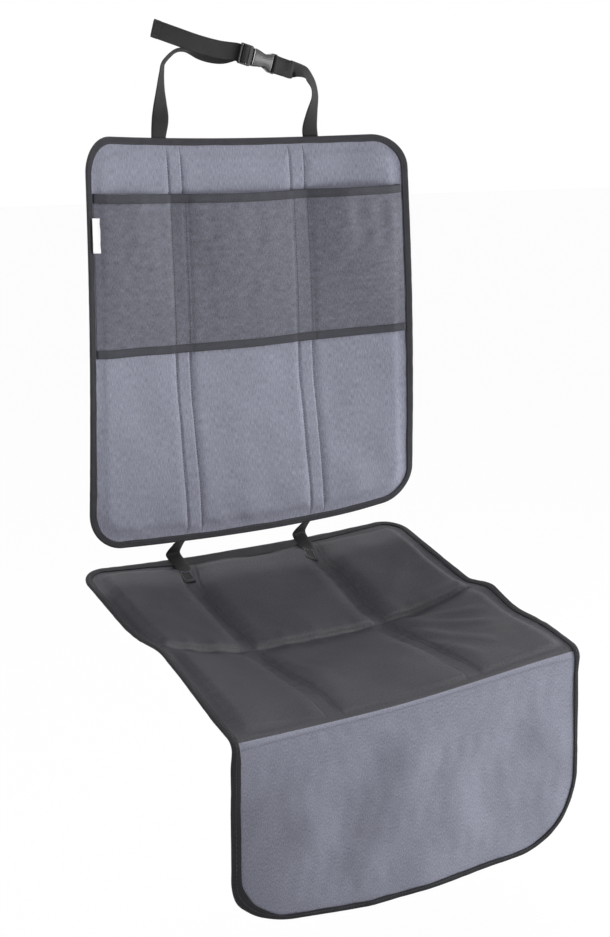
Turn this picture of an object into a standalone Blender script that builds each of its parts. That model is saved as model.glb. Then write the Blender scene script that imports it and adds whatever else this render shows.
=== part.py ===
"""Car seat protector: a padded back panel with a mesh pocket and a headrest strap, joined by two short
straps to a padded seat panel that ends in a hanging front flap.

Metres, +Z up, +X across the seat, -Y to the front. The origin is the middle of the back panel's top edge,
where the headrest strap holds the protector up. Each panel is drawn flat, as it is cut, and is then
bent by one function: on_back for the back panel, and on_seat for the seat panel with its flap.
"""
import math

import bmesh
import bpy
from mathutils import Matrix, Vector

# Panels, as cut
PANEL_WIDTH = 0.460
BACK_HEIGHT = 0.484
BACK_CORNER = 0.044
SEAT_LENGTH = 0.382
SEAT_REAR_CORNER = 0.034
FLAP_LENGTH = 0.209
FLAP_CORNER = 0.080
FOLD_RADIUS = 0.010

# Layers of cloth, foam and edge tape
FABRIC = 0.0009
GAP = 0.0003
TAPE = 0.0009
BINDING_WIDTH = 0.0100
PRESSED_MARGIN = 0.001
PAD_MARGIN = 0.008
PAD_EDGE = 0.0010
BACK_PAD = 0.0035
BACK_SHOULDER = 0.010
SEAT_PAD = 0.0095
SEAT_SHOULDER = 0.026
SHOULDER_STEP = 0.25
PAD_CLEARANCE = 0.0005

# Stitched channels that divide the panels in three, and the seat's cross crease
CHANNEL_X = 0.088
CHANNEL_WIDTH = 0.020
CREASE_AT = 0.198
CREASE_WIDTH = 0.015
FOLD_MARGIN = 0.006

# How the panels are bent in use: the sides come forward round the backrest and up round the cushion
FLAT_HALF = 0.045
BACK_LEAN = 0.0073
BACK_BELLY = 0.0083
BACK_WRAP_TOP = 0.0356
BACK_WRAP_FOOT = 0.009
WRAP_FADE = 0.225
BACK_TURN = 0.062
BACK_DRIFT = -0.014
TOP_DIP = 0.006
FOOT_BOW = 0.011
SEAT_SLOPE = math.radians(12.66)
SEAT_REAR_SETBACK = 0.0395
SEAT_DROP = 0.029
SEAT_SAG_REAR = 0.007
SEAT_SAG_BEHIND = 0.022
SEAT_SAG_CREASE = 0.030
SEAT_SAG_FOLD = 0.004
REAR_FALL = 0.050
SIDE_LIFT_BEHIND_CREASE = -0.003
SIDE_LIFT_CREASE = 0.0149
SIDE_LIFT_FOLD = 0.004
CREASE_REACH = 0.030
RIGHT_CORNER_RISE = 0.012
RISE_START_X = -0.05

# Mesh pocket, its tapes and the bare tag
POCKET_FOOT = 0.229
POCKET_TOP = 0.418
POCKET_SLACK = 0.012
MESH = 0.0006
POCKET_TAPE = 0.0005
POCKET_BAND = 0.010
TAG_DROP = 0.067
TAG_HEIGHT = 0.040
TAG_WIDTH = 0.012
TAG_THICKNESS = 0.0004
TAG_INSET = 0.006

# Webbing
WEBBING = 0.0215
WEBBING_THICKNESS = 0.0012
STRAP_FOOT = 0.026
LEFT_STRAP_X = -0.106
RIGHT_STRAP_X = 0.112
CONNECTOR_WIDTH = 0.0180
CONNECTOR_ON_SEAT = 0.068
CONNECTOR_ON_BACK = 0.034

# Points of the headrest strap in free air: X, Y and Z, and the direction across the webbing.
# LEFT_RISE and RIGHT_FALL give X and Y from the strap's foot, the others give Y from the buckle's depth.
LEFT_RISE = (
    (0.001, -0.003, 0.019, (0.92, -0.40, 0.0)),
    (0.002, -0.006, 0.046, (0.72, -0.70, 0.0)),
    (0.004, -0.009, 0.0685, (0.40, -0.92, 0.0)),
    (0.008, -0.0115, 0.0865, (0.15, -0.99, 0.05)),
)
LEFT_CROSSING = (
    (-0.1000, 0.005, 0.0990, (0.05, -1.0, 0.05)),
    (-0.0860, 0.007, 0.1045, (0.0, -0.97, 0.25)),
    (-0.0680, 0.007, 0.1037, (0.0, -0.80, 0.60)),
    (-0.0490, 0.0062, 0.1025, (0.0, -0.45, 0.89)),
)
LOOSE_END = (
    (-0.0445, 0.0005, 0.1060, (0.10, 0.0, 0.99)),
    (-0.0735, -0.003, 0.1115, (0.14, 0.0, 0.99)),
    (-0.1023, -0.005, 0.1193, (0.20, 0.05, 0.98)),
    (-0.1337, -0.005, 0.1285, (0.26, 0.08, 0.97)),
)
RIGHT_CROSSING = (
    (0.0755, 0.002, 0.0821, (0.30, -0.55, 0.78)),
    (0.0889, 0.002, 0.0732, (0.42, -0.82, 0.36)),
    (0.0990, 0.008, 0.0605, (0.42, -0.90, 0.10)),
)
RIGHT_FALL = (
    (0.001, -0.010, 0.0430, (0.55, -0.83, 0.0)),
    (0.0, -0.003, 0.0200, (0.86, -0.50, 0.0)),
)

# Points of a connector strap between the panels, from its ends on the seat and on the back
CONNECTOR_OFF_SEAT = ((0.0, -0.006, 0.0018), (0.0, 0.0015, 0.0085))
CONNECTOR_BOW = (0.0, 0.008, 0.0)
CONNECTOR_OFF_BACK = ((0.0, 0.0040, -0.009), (0.0, 0.0006, 0.002))

# Side-release buckle, along its own length from the mouth of the socket
BUCKLE_MOUTH_X = 0.0009
BUCKLE_MOUTH_Y = -0.0240
BUCKLE_MOUTH_Z = 0.0982
BUCKLE_TILT = math.radians(15.3)
SOCKET_LENGTH = 0.0276
SOCKET_MOUTH_HALF = 0.0113
SOCKET_WAIST_HALF = 0.0096
SOCKET_WAIST_AT = 0.0138
SOCKET_THICKNESS = 0.0078
SOCKET_CAVITY_HALF = 0.0084
SOCKET_CAVITY_THICKNESS = 0.0044
WINDOW_START = 0.0090
WINDOW_END = 0.0190
END_BAR = 0.0025
SLOT = 0.0032
BUCKLE_WALL = 0.0016
FRAME_THICKNESS = 0.0036
LADDER_LENGTH = 0.0180
LADDER_BASE = 0.0058
LADDER_BAR = 0.0038
PRONG_LENGTH = 0.0170
PRONG_WIDTH = 0.0022
PRONG_HALF = 0.0076
BARB_START = 0.0107
BARB_HALF = 0.0092
GUIDE_HALF = 0.0011
MOUTH_GAP = 0.0004

# Worked out from the sizes above
EDGE_INSET = TAPE + GAP
PRESSED_INSET = BINDING_WIDTH + PRESSED_MARGIN
PAD_INSET = BINDING_WIDTH + PAD_MARGIN
HALF_WIDTH = PANEL_WIDTH / 2
CHANNEL_IN = CHANNEL_X - CHANNEL_WIDTH / 2
CHANNEL_OUT = CHANNEL_X + CHANNEL_WIDTH / 2
TOP_SETBACK = BACK_LEAN + BACK_WRAP_TOP
FOLD_ARC = FOLD_RADIUS * (math.pi / 2 - SEAT_SLOPE)
SEAM_AT = SEAT_LENGTH + FOLD_ARC / 2
SEAT_TOTAL = SEAT_LENGTH + FOLD_ARC + FLAP_LENGTH
FACE_AT_EDGE = GAP / 2 + FABRIC
BINDING_IN = FACE_AT_EDGE + GAP
BINDING_OUT = BINDING_IN + TAPE
POCKET_SIDE = HALF_WIDTH - BINDING_WIDTH - GAP


def clear_scene():
    for item in list(bpy.data.objects):
        bpy.data.objects.remove(item, do_unlink=True)


def material(name, colour, roughness, metallic=0.0):
    made = bpy.data.materials.new(name)
    made.use_nodes = True
    shader = made.node_tree.nodes["Principled BSDF"]
    shader.inputs["Base Color"].default_value = (*colour, 1.0)
    shader.inputs["Roughness"].default_value = roughness
    shader.inputs["Metallic"].default_value = metallic
    return made


def smooth(value):
    value = min(max(value, 0.0), 1.0)
    return value * value * (3.0 - 2.0 * value)


def ease(places, at):
    """A smooth run through (place, value) pairs."""
    if at <= places[0][0]:
        return places[0][1]
    for (start, low), (end, high) in zip(places, places[1:]):
        if at <= end:
            return low + (high - low) * smooth((at - start) / (end - start))
    return places[-1][1]


# Bending the flat panels

def side_share(x):
    """0 on the flat middle of a panel, 1 at its side edges, along a parabola."""
    out = max(0.0, abs(x) - FLAT_HALF) / (HALF_WIDTH - FLAT_HALF)
    return out * out


def on_back(x, up, out):
    """The point of the back panel that lies x across, up from its foot and out to the front."""
    wrap = BACK_WRAP_FOOT + (BACK_WRAP_TOP - BACK_WRAP_FOOT) * smooth(up / WRAP_FADE)
    belly = BACK_BELLY * math.sin(math.pi * min(max(up / BACK_HEIGHT, 0.0), 1.0))
    y = BACK_LEAN * up / BACK_HEIGHT - belly + wrap * (1.0 - side_share(x))
    y += BACK_TURN * x * up / BACK_HEIGHT
    middle = 1.0 - (x / HALF_WIDTH) ** 2
    drop = (FOOT_BOW + (TOP_DIP - FOOT_BOW) * up / BACK_HEIGHT) * middle
    return Vector((x + BACK_DRIFT * middle * up / BACK_HEIGHT, y - out - TOP_SETBACK,
                   up - BACK_HEIGHT + TOP_DIP - drop))


def seat_shape(x, along):
    """How far the seat stands off its plane: its middle sags and its sides are lifted."""
    sag = ease(((0.0, SEAT_SAG_REAR), (REAR_FALL, SEAT_SAG_BEHIND), (CREASE_AT, SEAT_SAG_CREASE),
                (SEAT_LENGTH, SEAT_SAG_FOLD), (SEAM_AT + CREASE_REACH, 0.0)), along)
    lift = ease(((0.0, 0.0), (CREASE_AT - CREASE_REACH, SIDE_LIFT_BEHIND_CREASE),
                 (CREASE_AT + CREASE_REACH, SIDE_LIFT_CREASE), (SEAT_LENGTH, SIDE_LIFT_FOLD),
                 (SEAM_AT + CREASE_REACH, 0.0)), along)
    return side_share(x) * (sag + lift) - sag


def on_seat(x, along, out):
    """The point of the seat panel that lies x across, along it from the rear edge and out of its face."""
    stand = out + seat_shape(x, along)
    if along <= SEAT_LENGTH:
        turn = SEAT_SLOPE
        run = along
        hang = 0.0
    elif along <= SEAT_LENGTH + FOLD_ARC:
        turn = SEAT_SLOPE + (along - SEAT_LENGTH) / FOLD_RADIUS
        run = SEAT_LENGTH
        hang = 0.0
    else:
        turn = math.pi / 2
        run = SEAT_LENGTH
        hang = along - SEAT_LENGTH - FOLD_ARC
    y = SEAT_REAR_SETBACK - run * math.cos(SEAT_SLOPE)
    z = -SEAT_DROP - run * math.sin(SEAT_SLOPE)
    y += FOLD_RADIUS * (math.sin(SEAT_SLOPE) - math.sin(turn))
    z -= FOLD_RADIUS * (math.cos(SEAT_SLOPE) - math.cos(turn))
    y -= stand * math.sin(turn)
    z += stand * math.cos(turn) - hang
    front = smooth((along - CREASE_AT) / (SEAT_LENGTH - CREASE_AT)) * (1.0 - hang / FLAP_LENGTH)
    z += RIGHT_CORNER_RISE * smooth((x - RISE_START_X) / (HALF_WIDTH - RISE_START_X)) * front
    return Vector((x, y - TOP_SETBACK, z - BACK_HEIGHT))


# Flat sheets with round corners

class Sheet:
    """A round-cornered sheet: rows across it, each with its place, half width and the side's outward angle."""

    def __init__(self, length, start_corner, end_corner, lines, columns, start_steps, end_steps):
        self.length = length
        self.start_corner = start_corner
        self.end_corner = end_corner
        self.lines = lines
        self.columns = columns
        self.start_steps = start_steps
        self.end_steps = end_steps

    def rows(self, inset):
        made = []
        for step in range(self.start_steps + 1):
            angle = math.pi / 2 * (1.0 - step / self.start_steps)
            radius = self.start_corner - inset
            made.append((self.start_corner - radius * math.sin(angle),
                         HALF_WIDTH - self.start_corner + radius * math.cos(angle),
                         -angle, self.start_corner))
        for line in self.lines:
            made.append((line, HALF_WIDTH - inset, 0.0, 0.0))
        for step in range(self.end_steps + 1):
            angle = math.pi / 2 * step / self.end_steps
            radius = self.end_corner - inset
            made.append((self.length - self.end_corner + radius * math.sin(angle),
                         HALF_WIDTH - self.end_corner + radius * math.cos(angle),
                         angle, self.end_corner))
        return made

    def across(self, x, row, inset):
        """Draws a column that lies outside a corner's centre in towards it, so that the rows stay level."""
        _, half, _, corner = row
        centre = HALF_WIDTH - corner
        if corner == 0.0 or abs(x) <= centre:
            return x
        share = (abs(x) - centre) / (HALF_WIDTH - inset - centre)
        return math.copysign(centre + share * (half - centre), x)

    def outline(self):
        """Stations round the outer edge: place, and outward direction."""
        rows = self.rows(0.0)
        right = [(half, place, math.cos(angle), math.sin(angle)) for place, half, angle, _ in rows]
        left = [(-half, place, -math.cos(angle), math.sin(angle)) for place, half, angle, _ in reversed(rows)]
        end_half = HALF_WIDTH - self.end_corner
        start_half = HALF_WIDTH - self.start_corner
        end = [(x, self.length, 0.0, 1.0) for x in reversed(self.columns) if abs(x) < end_half]
        start = [(x, 0.0, 0.0, -1.0) for x in self.columns if abs(x) < start_half]
        return right + end + left + start


class Patch:
    """Flat points and faces; points that fall together are one."""

    def __init__(self):
        self.points = []
        self.faces = []
        self.places = {}

    def point(self, x, y):
        key = (round(x, 6), round(y, 6))
        if key not in self.places:
            self.places[key] = len(self.points)
            self.points.append((x, y))
        return self.places[key]

    def face(self, corners):
        """Adds a face as triangles that fan from its first corner, so that all layers fold alike."""
        loop = []
        for corner in corners:
            if corner not in loop:
                loop.append(corner)
        for second, third in zip(loop[1:], loop[2:]):
            self.faces.append([loop[0], second, third])


def grid_patch(sheet, inset, first, last, columns):
    """The part of a sheet between two places along it, and over the given columns."""
    patch = Patch()
    rows = [row for row in sheet.rows(inset) if first - 1e-7 <= row[0] <= last + 1e-7]
    lines = [[patch.point(sheet.across(x, row, inset), row[0]) for x in columns] for row in rows]
    for low, high in zip(lines, lines[1:]):
        for i in range(len(columns) - 1):
            patch.face((low[i], low[i + 1], high[i + 1], high[i]))
    return patch


def full_patch(sheet, insets, first=0.0, last=math.inf):
    """A sheet from first to last: rings that follow its edge at each inset, and level rows inside them."""
    inner = insets[-1]
    columns = [-(HALF_WIDTH - inner)] + sheet.columns + [HALF_WIDTH - inner]
    patch = grid_patch(sheet, inner, first, last, columns)
    stations = sheet.outline()
    for outer_inset, inner_inset in zip(insets, insets[1:]):
        loops = []
        for inset in (outer_inset, inner_inset):
            loops.append([(x - inset * nx, y - inset * ny) for x, y, nx, ny in stations])
        for i in range(len(stations)):
            j = (i + 1) % len(stations)
            corners = (loops[0][i], loops[0][j], loops[1][j], loops[1][i])
            middle = (stations[i][1] + stations[j][1]) / 2
            if first <= middle <= last:
                patch.face([patch.point(*corner) for corner in corners])
    return patch


def solid(name, patch, bend, low, high, paint):
    """A closed sheet between two heights above a flat patch, bent into place."""
    count = len(patch.points)
    points = [bend(x, y, high(x, y)) for x, y in patch.points]
    points += [bend(x, y, low(x, y)) for x, y in patch.points]
    faces = [list(face) for face in patch.faces]
    faces += [[corner + count for corner in reversed(face)] for face in patch.faces]
    used = {}
    for face in patch.faces:
        for a, b in zip(face, face[1:] + face[:1]):
            used[(a, b)] = True
    for a, b in used:
        if (b, a) not in used:
            faces.append([b, a, a + count, b + count])
    return mesh_object(name, points, faces, paint)


def mesh_object(name, points, faces, paint, keep_flat=False):
    mesh = bpy.data.meshes.new(name)
    mesh.from_pydata([tuple(point) for point in points], [], faces)
    work = bmesh.new()
    work.from_mesh(mesh)
    bmesh.ops.recalc_face_normals(work, faces=work.faces)
    work.to_mesh(mesh)
    work.free()
    mesh.materials.append(paint)
    if not keep_flat:
        mesh.shade_smooth()
        mesh.set_sharp_from_angle(angle=math.radians(40))
    made = bpy.data.objects.new(name, mesh)
    bpy.context.scene.collection.objects.link(made)
    return made


def sweep(name, rings, closed, paint, crossed=()):
    """Joins like rings of points, with end caps where the run is open. The sides in crossed fold the other way."""
    size = len(rings[0])
    points = [point for ring in rings for point in ring]
    faces = []
    last = len(rings) if closed else len(rings) - 1
    for i in range(last):
        j = (i + 1) % len(rings)
        for k in range(size):
            m = (k + 1) % size
            here, next_here = i * size + k, i * size + m
            there, next_there = j * size + k, j * size + m
            if k in crossed:
                faces += [[here, next_here, there], [next_here, next_there, there]]
            else:
                faces += [[here, next_here, next_there], [here, next_there, there]]
    if not closed:
        faces.append(list(range(size)))
        faces.append([(len(rings) - 1) * size + k for k in reversed(range(size))])
    return mesh_object(name, points, faces, paint)


# Heights of the layers above a panel's middle

def edge_distance(x, y, length, start_corner, end_corner):
    """Distance from a point of a sheet to its outline."""
    corner = start_corner if y < length / 2 else end_corner
    dx = HALF_WIDTH - abs(x)
    dy = min(y, length - y)
    if dx < corner and dy < corner:
        return corner - math.hypot(corner - dx, corner - dy)
    return min(dx, dy)


def shoulder(depth, reach):
    """A quarter round from a pad's seam up to its full height."""
    short = 1.0 - min(max(depth / reach, 0.0), 1.0)
    return math.sqrt(1.0 - short * short)


def channel_distance(x):
    return abs(abs(x) - CHANNEL_X) - CHANNEL_WIDTH / 2


def cover_rise(edge, depth, full, reach):
    """How far the face cloth is pushed up: nothing at the bound edge, a little at a seam, full over a pad."""
    if edge >= PAD_INSET - 1e-6:
        return PAD_EDGE + GAP + (full - PAD_EDGE) * shoulder(depth, reach)
    out = (edge - PRESSED_INSET) / (PAD_INSET - PRESSED_INSET)
    return (PAD_EDGE + GAP) * min(max(out, 0.0), 1.0)


def back_rise(x, up, trim=0.0):
    edge = edge_distance(x, up, BACK_HEIGHT, BACK_CORNER, BACK_CORNER)
    depth = min(edge - PAD_INSET, channel_distance(x)) - trim
    return cover_rise(edge, depth, BACK_PAD, BACK_SHOULDER)


def seat_rise(x, along, trim=0.0):
    edge = edge_distance(x, along, SEAT_TOTAL, SEAT_REAR_CORNER, FLAP_CORNER)
    if along > SEAT_LENGTH - FOLD_MARGIN:
        return 0.0
    crease = abs(along - CREASE_AT) - CREASE_WIDTH / 2
    depth = min(edge - PAD_INSET, channel_distance(x), crease, SEAT_LENGTH - FOLD_MARGIN - along) - trim
    return cover_rise(edge, depth, SEAT_PAD, SEAT_SHOULDER)


def lining_low(x, y):
    return -GAP / 2 - FABRIC


def lining_high(x, y):
    return -GAP / 2


def back_face_high(x, up):
    return FACE_AT_EDGE + back_rise(x, up)


def seat_face_high(x, along):
    return FACE_AT_EDGE + seat_rise(x, along)


def binding(name, sheet, bend, paint):
    """Tape folded in a U round a panel's whole edge."""
    section = ((BINDING_WIDTH, BINDING_OUT), (0.0, BINDING_OUT), (0.0, -BINDING_OUT),
               (BINDING_WIDTH, -BINDING_OUT), (BINDING_WIDTH, -BINDING_IN), (TAPE, -BINDING_IN),
               (TAPE, BINDING_IN), (BINDING_WIDTH, BINDING_IN))
    rings = []
    for x, y, nx, ny in sheet.outline():
        rings.append([bend(x - inset * nx, y - inset * ny, out) for inset, out in section])
    return sweep(name, rings, True, paint, crossed=(4,))


# Where the panels bend, seen flat: the lines that every layer shares

def mirrored(places):
    return sorted({round(sign * place, 6) for place in places for sign in (-1, 1)})


def spaced(first, last, count):
    return [first + (last - first) * i / count for i in range(count + 1)]


def pad_columns(reach):
    """Columns at the pads' seams and shoulders, and the middle of each outer third."""
    places = [0.0, FLAT_HALF, CHANNEL_IN, CHANNEL_OUT]
    edge = HALF_WIDTH - PAD_INSET
    places += spaced(CHANNEL_OUT + reach, edge - reach, 2)
    return mirrored(places)


def back_sheet():
    end = BACK_HEIGHT - BACK_CORNER
    lines = spaced(BACK_CORNER, POCKET_FOOT, 3)[1:]
    lines += [POCKET_FOOT + POCKET_BAND, (POCKET_FOOT + POCKET_TOP) / 2, POCKET_TOP - POCKET_BAND,
              POCKET_TOP, (POCKET_TOP + end) / 2]
    return Sheet(BACK_HEIGHT, BACK_CORNER, BACK_CORNER, lines, pad_columns(BACK_SHOULDER), 4, 4)


def seat_rows(start, end):
    """Rows of one seat pad, from seam to seam, with two on each round shoulder."""
    part = SHOULDER_STEP * SEAT_SHOULDER
    return [start, start + part, start + SEAT_SHOULDER, (start + end) / 2, end - SEAT_SHOULDER,
            end - part, end]


def seat_sheet():
    """The seat panel with its flap."""
    rear = seat_rows(PAD_INSET, CREASE_AT - CREASE_WIDTH / 2)
    front = seat_rows(CREASE_AT + CREASE_WIDTH / 2, SEAT_LENGTH - FOLD_MARGIN)
    fold = [SEAT_LENGTH, SEAM_AT - GAP / 2, SEAM_AT + GAP / 2, SEAT_LENGTH + FOLD_ARC]
    flap = spaced(SEAT_LENGTH + FOLD_ARC, SEAT_TOTAL - FLAP_CORNER, 2)[1:-1]
    rear = [row for row in rear if row > SEAT_REAR_CORNER + GAP]
    return Sheet(SEAT_TOTAL, SEAT_REAR_CORNER, FLAP_CORNER, rear + front + fold + flap,
                 pad_columns(SEAT_SHOULDER), 3, 5)


# Back panel

def pad_patch(sheet, first, last, left, right):
    """A pad that fills a cell of a sheet between two places and two columns, a little inside its seams."""
    inset = PAD_INSET + PAD_CLEARANCE
    edge = HALF_WIDTH - inset
    left_x = max(left + PAD_CLEARANCE, -edge)
    right_x = min(right - PAD_CLEARANCE, edge)
    columns = [left_x] + [x for x in sheet.columns if left_x < x < right_x] + [right_x]
    start = first + PAD_CLEARANCE
    end = last - PAD_CLEARANCE
    lines = [line for line in sheet.lines if start < line < end]
    if start > inset:
        lines.insert(0, start)
    if end < sheet.length - inset:
        lines.append(end)
    trimmed = Sheet(sheet.length, sheet.start_corner, sheet.end_corner, lines, sheet.columns,
                    sheet.start_steps, sheet.end_steps)
    return grid_patch(trimmed, inset, start, end, columns)


CELLS = {
    "left": (-HALF_WIDTH, -CHANNEL_OUT),
    "middle": (-CHANNEL_IN, CHANNEL_IN),
    "right": (CHANNEL_OUT, HALF_WIDTH),
}


def make_back(sheet, paints):
    rings = (EDGE_INSET, PRESSED_INSET, PAD_INSET)
    solid("back_face_panel", full_patch(sheet, rings), on_back,
          lambda x, up: GAP / 2 + back_rise(x, up), back_face_high, paints["melange"])
    solid("back_lining", full_patch(sheet, rings), on_back, lining_low, lining_high, paints["backing"])
    for side, (left, right) in CELLS.items():
        solid(f"back_pad_{side}", pad_patch(sheet, 0.0, BACK_HEIGHT, left, right), on_back,
              lambda x, up: GAP / 2, lambda x, up: back_rise(x, up, PAD_CLEARANCE) - GAP / 2, paints["foam"])
    binding("back_edge_binding", sheet, on_back, paints["binding"])


# Mesh pocket

def pocket_bulge(x, up):
    """The pocket's slack: each of its three compartments stands out most at the middle of its mouth."""
    if abs(x) > CHANNEL_OUT:
        share = (abs(x) - CHANNEL_OUT) / (POCKET_SIDE - CHANNEL_OUT)
    else:
        share = (x + CHANNEL_OUT) / (2 * CHANNEL_OUT)
    rise = math.sin(math.pi / 2 * min(max((up - POCKET_FOOT) / (POCKET_TOP - POCKET_FOOT), 0.0), 1.0))
    return POCKET_SLACK * math.sin(math.pi * min(max(share, 0.0), 1.0)) * rise


def mesh_low(x, up):
    return back_face_high(x, up) + 2 * GAP + POCKET_TAPE + pocket_bulge(x, up)


def mesh_high(x, up):
    return mesh_low(x, up) + MESH


def pocket_columns(sheet):
    sides = [HALF_WIDTH - PAD_INSET, HALF_WIDTH - PRESSED_INSET, POCKET_SIDE]
    return sorted(set(sheet.columns) | set(mirrored(sides)))


def make_pocket(sheet, paints):
    columns = pocket_columns(sheet)
    patch = grid_patch(sheet, 0.0, POCKET_FOOT, POCKET_TOP, columns)
    solid("pocket_mesh", patch, on_back, mesh_low, mesh_high, paints["mesh"])
    foot = grid_patch(sheet, 0.0, POCKET_FOOT, POCKET_FOOT + POCKET_BAND, columns)
    solid("pocket_foot_tape", foot, on_back, lambda x, up: mesh_high(x, up) + GAP,
          lambda x, up: mesh_high(x, up) + GAP + POCKET_TAPE, paints["binding"])
    rings = []
    for x in columns:
        ring = []
        for up, over, side in ((POCKET_TOP - POCKET_BAND, GAP + POCKET_TAPE, 1),
                               (POCKET_TOP + GAP + POCKET_TAPE, GAP + POCKET_TAPE, 1),
                               (POCKET_TOP + GAP + POCKET_TAPE, GAP + POCKET_TAPE, -1),
                               (POCKET_TOP - POCKET_BAND, GAP + POCKET_TAPE, -1),
                               (POCKET_TOP - POCKET_BAND, GAP, -1), (POCKET_TOP + GAP, GAP, -1),
                               (POCKET_TOP + GAP, GAP, 1), (POCKET_TOP - POCKET_BAND, GAP, 1)):
            base = mesh_high(x, min(up, POCKET_TOP)) if side > 0 else mesh_low(x, min(up, POCKET_TOP))
            ring.append(on_back(x, up, base + side * over))
        rings.append(ring)
    sweep("pocket_top_binding", rings, False, paints["binding"])


def make_tag(paints):
    """The bare tag: a flat slip of tape over the pocket's left edge."""
    left = -HALF_WIDTH + TAG_INSET
    columns = spaced(left, left + TAG_WIDTH, 3)
    foot = POCKET_TOP - TAG_DROP
    under = max(mesh_high(left + TAG_WIDTH, foot + TAG_HEIGHT), BINDING_OUT) + GAP
    patch = Patch()
    rows = [[patch.point(x, up) for x in columns] for up in (foot, foot + TAG_HEIGHT)]
    for i in range(len(columns) - 1):
        patch.face((rows[0][i], rows[0][i + 1], rows[1][i + 1], rows[1][i]))
    solid("side_tag", patch, on_back, lambda x, up: under, lambda x, up: under + TAG_THICKNESS, paints["tag"])


# Seat panel and flap

def make_seat(sheet, paints):
    rings = (EDGE_INSET, PRESSED_INSET, PAD_INSET)
    solid("seat_face_panel", full_patch(sheet, rings, last=SEAM_AT - GAP / 2), on_seat,
          lambda x, along: GAP / 2 + seat_rise(x, along), seat_face_high, paints["coated"])
    solid("flap_face_panel", full_patch(sheet, rings, first=SEAM_AT + GAP / 2), on_seat,
          lambda x, along: GAP / 2, lambda x, along: FACE_AT_EDGE, paints["melange"])
    solid("seat_lining", full_patch(sheet, rings), on_seat, lining_low, lining_high, paints["backing"])
    spans = {"rear": (0.0, CREASE_AT - CREASE_WIDTH / 2),
             "front": (CREASE_AT + CREASE_WIDTH / 2, SEAT_LENGTH - FOLD_MARGIN)}
    for span, (first, last) in spans.items():
        for side, (left, right) in CELLS.items():
            solid(f"seat_pad_{span}_{side}", pad_patch(sheet, first, last, left, right), on_seat,
                  lambda x, along: GAP / 2,
                  lambda x, along: seat_rise(x, along, PAD_CLEARANCE) - GAP / 2, paints["foam"])
    binding("seat_edge_binding", sheet, on_seat, paints["binding"])


# Webbing

def curve_through(points, steps):
    """Catmull-Rom curve through the points, with the given steps in each span."""
    made = []
    padded = [points[0] * 2 - points[1]] + points + [points[-1] * 2 - points[-2]]
    for a, b, c, d in zip(padded, padded[1:], padded[2:], padded[3:]):
        for step in range(steps):
            t = step / steps
            made.append(((b * 2) + (c - a) * t + (a * 2 - b * 5 + c * 4 - d) * t * t
                         + (b * 3 - a - c * 3 + d) * t * t * t) / 2)
    made.append(points[-1].copy())
    return made


def ribbon(name, route, width, steps, paint):
    """Webbing along a route of (centre, direction across it) pairs."""
    centres = curve_through([Vector(centre) for centre, _ in route], steps)
    sides = curve_through([Vector(side).normalized() for _, side in route], steps)
    rings = []
    for i, centre in enumerate(centres):
        ahead = centres[min(i + 1, len(centres) - 1)] - centres[max(i - 1, 0)]
        ahead.normalize()
        side = (sides[i] - ahead * sides[i].dot(ahead)).normalized()
        normal = ahead.cross(side)
        half = side * (width / 2)
        thick = normal * (WEBBING_THICKNESS / 2)
        rings.append([centre - half - thick, centre + half - thick, centre + half + thick,
                      centre - half + thick])
    return sweep(name, rings, False, paint)


def buckle_frame():
    """Buckle axes: X along it from the socket's mouth, Y away from the viewer, Z across the webbing."""
    place = Matrix.Translation((BUCKLE_MOUTH_X, BUCKLE_MOUTH_Y, BUCKLE_MOUTH_Z))
    return place @ Matrix.Rotation(BUCKLE_TILT, 4, "Y")


def at_buckle(along, back, across=0.0):
    return buckle_frame() @ Vector((along, back, across))


def behind_back(x, up):
    """A point for webbing that lies flat on the back panel's rear, over its binding."""
    return on_back(x, up, -BINDING_OUT - GAP - WEBBING_THICKNESS / 2)


def across_at(surface, x, place):
    """The direction across a strap that lies flat on a bent panel."""
    half = WEBBING / 2
    return (surface(x + half, place) - surface(x - half, place)).normalized()


def hung(points, start_x, start_y):
    return [((start_x + x, start_y + y, z), across) for x, y, z, across in points]


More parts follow.
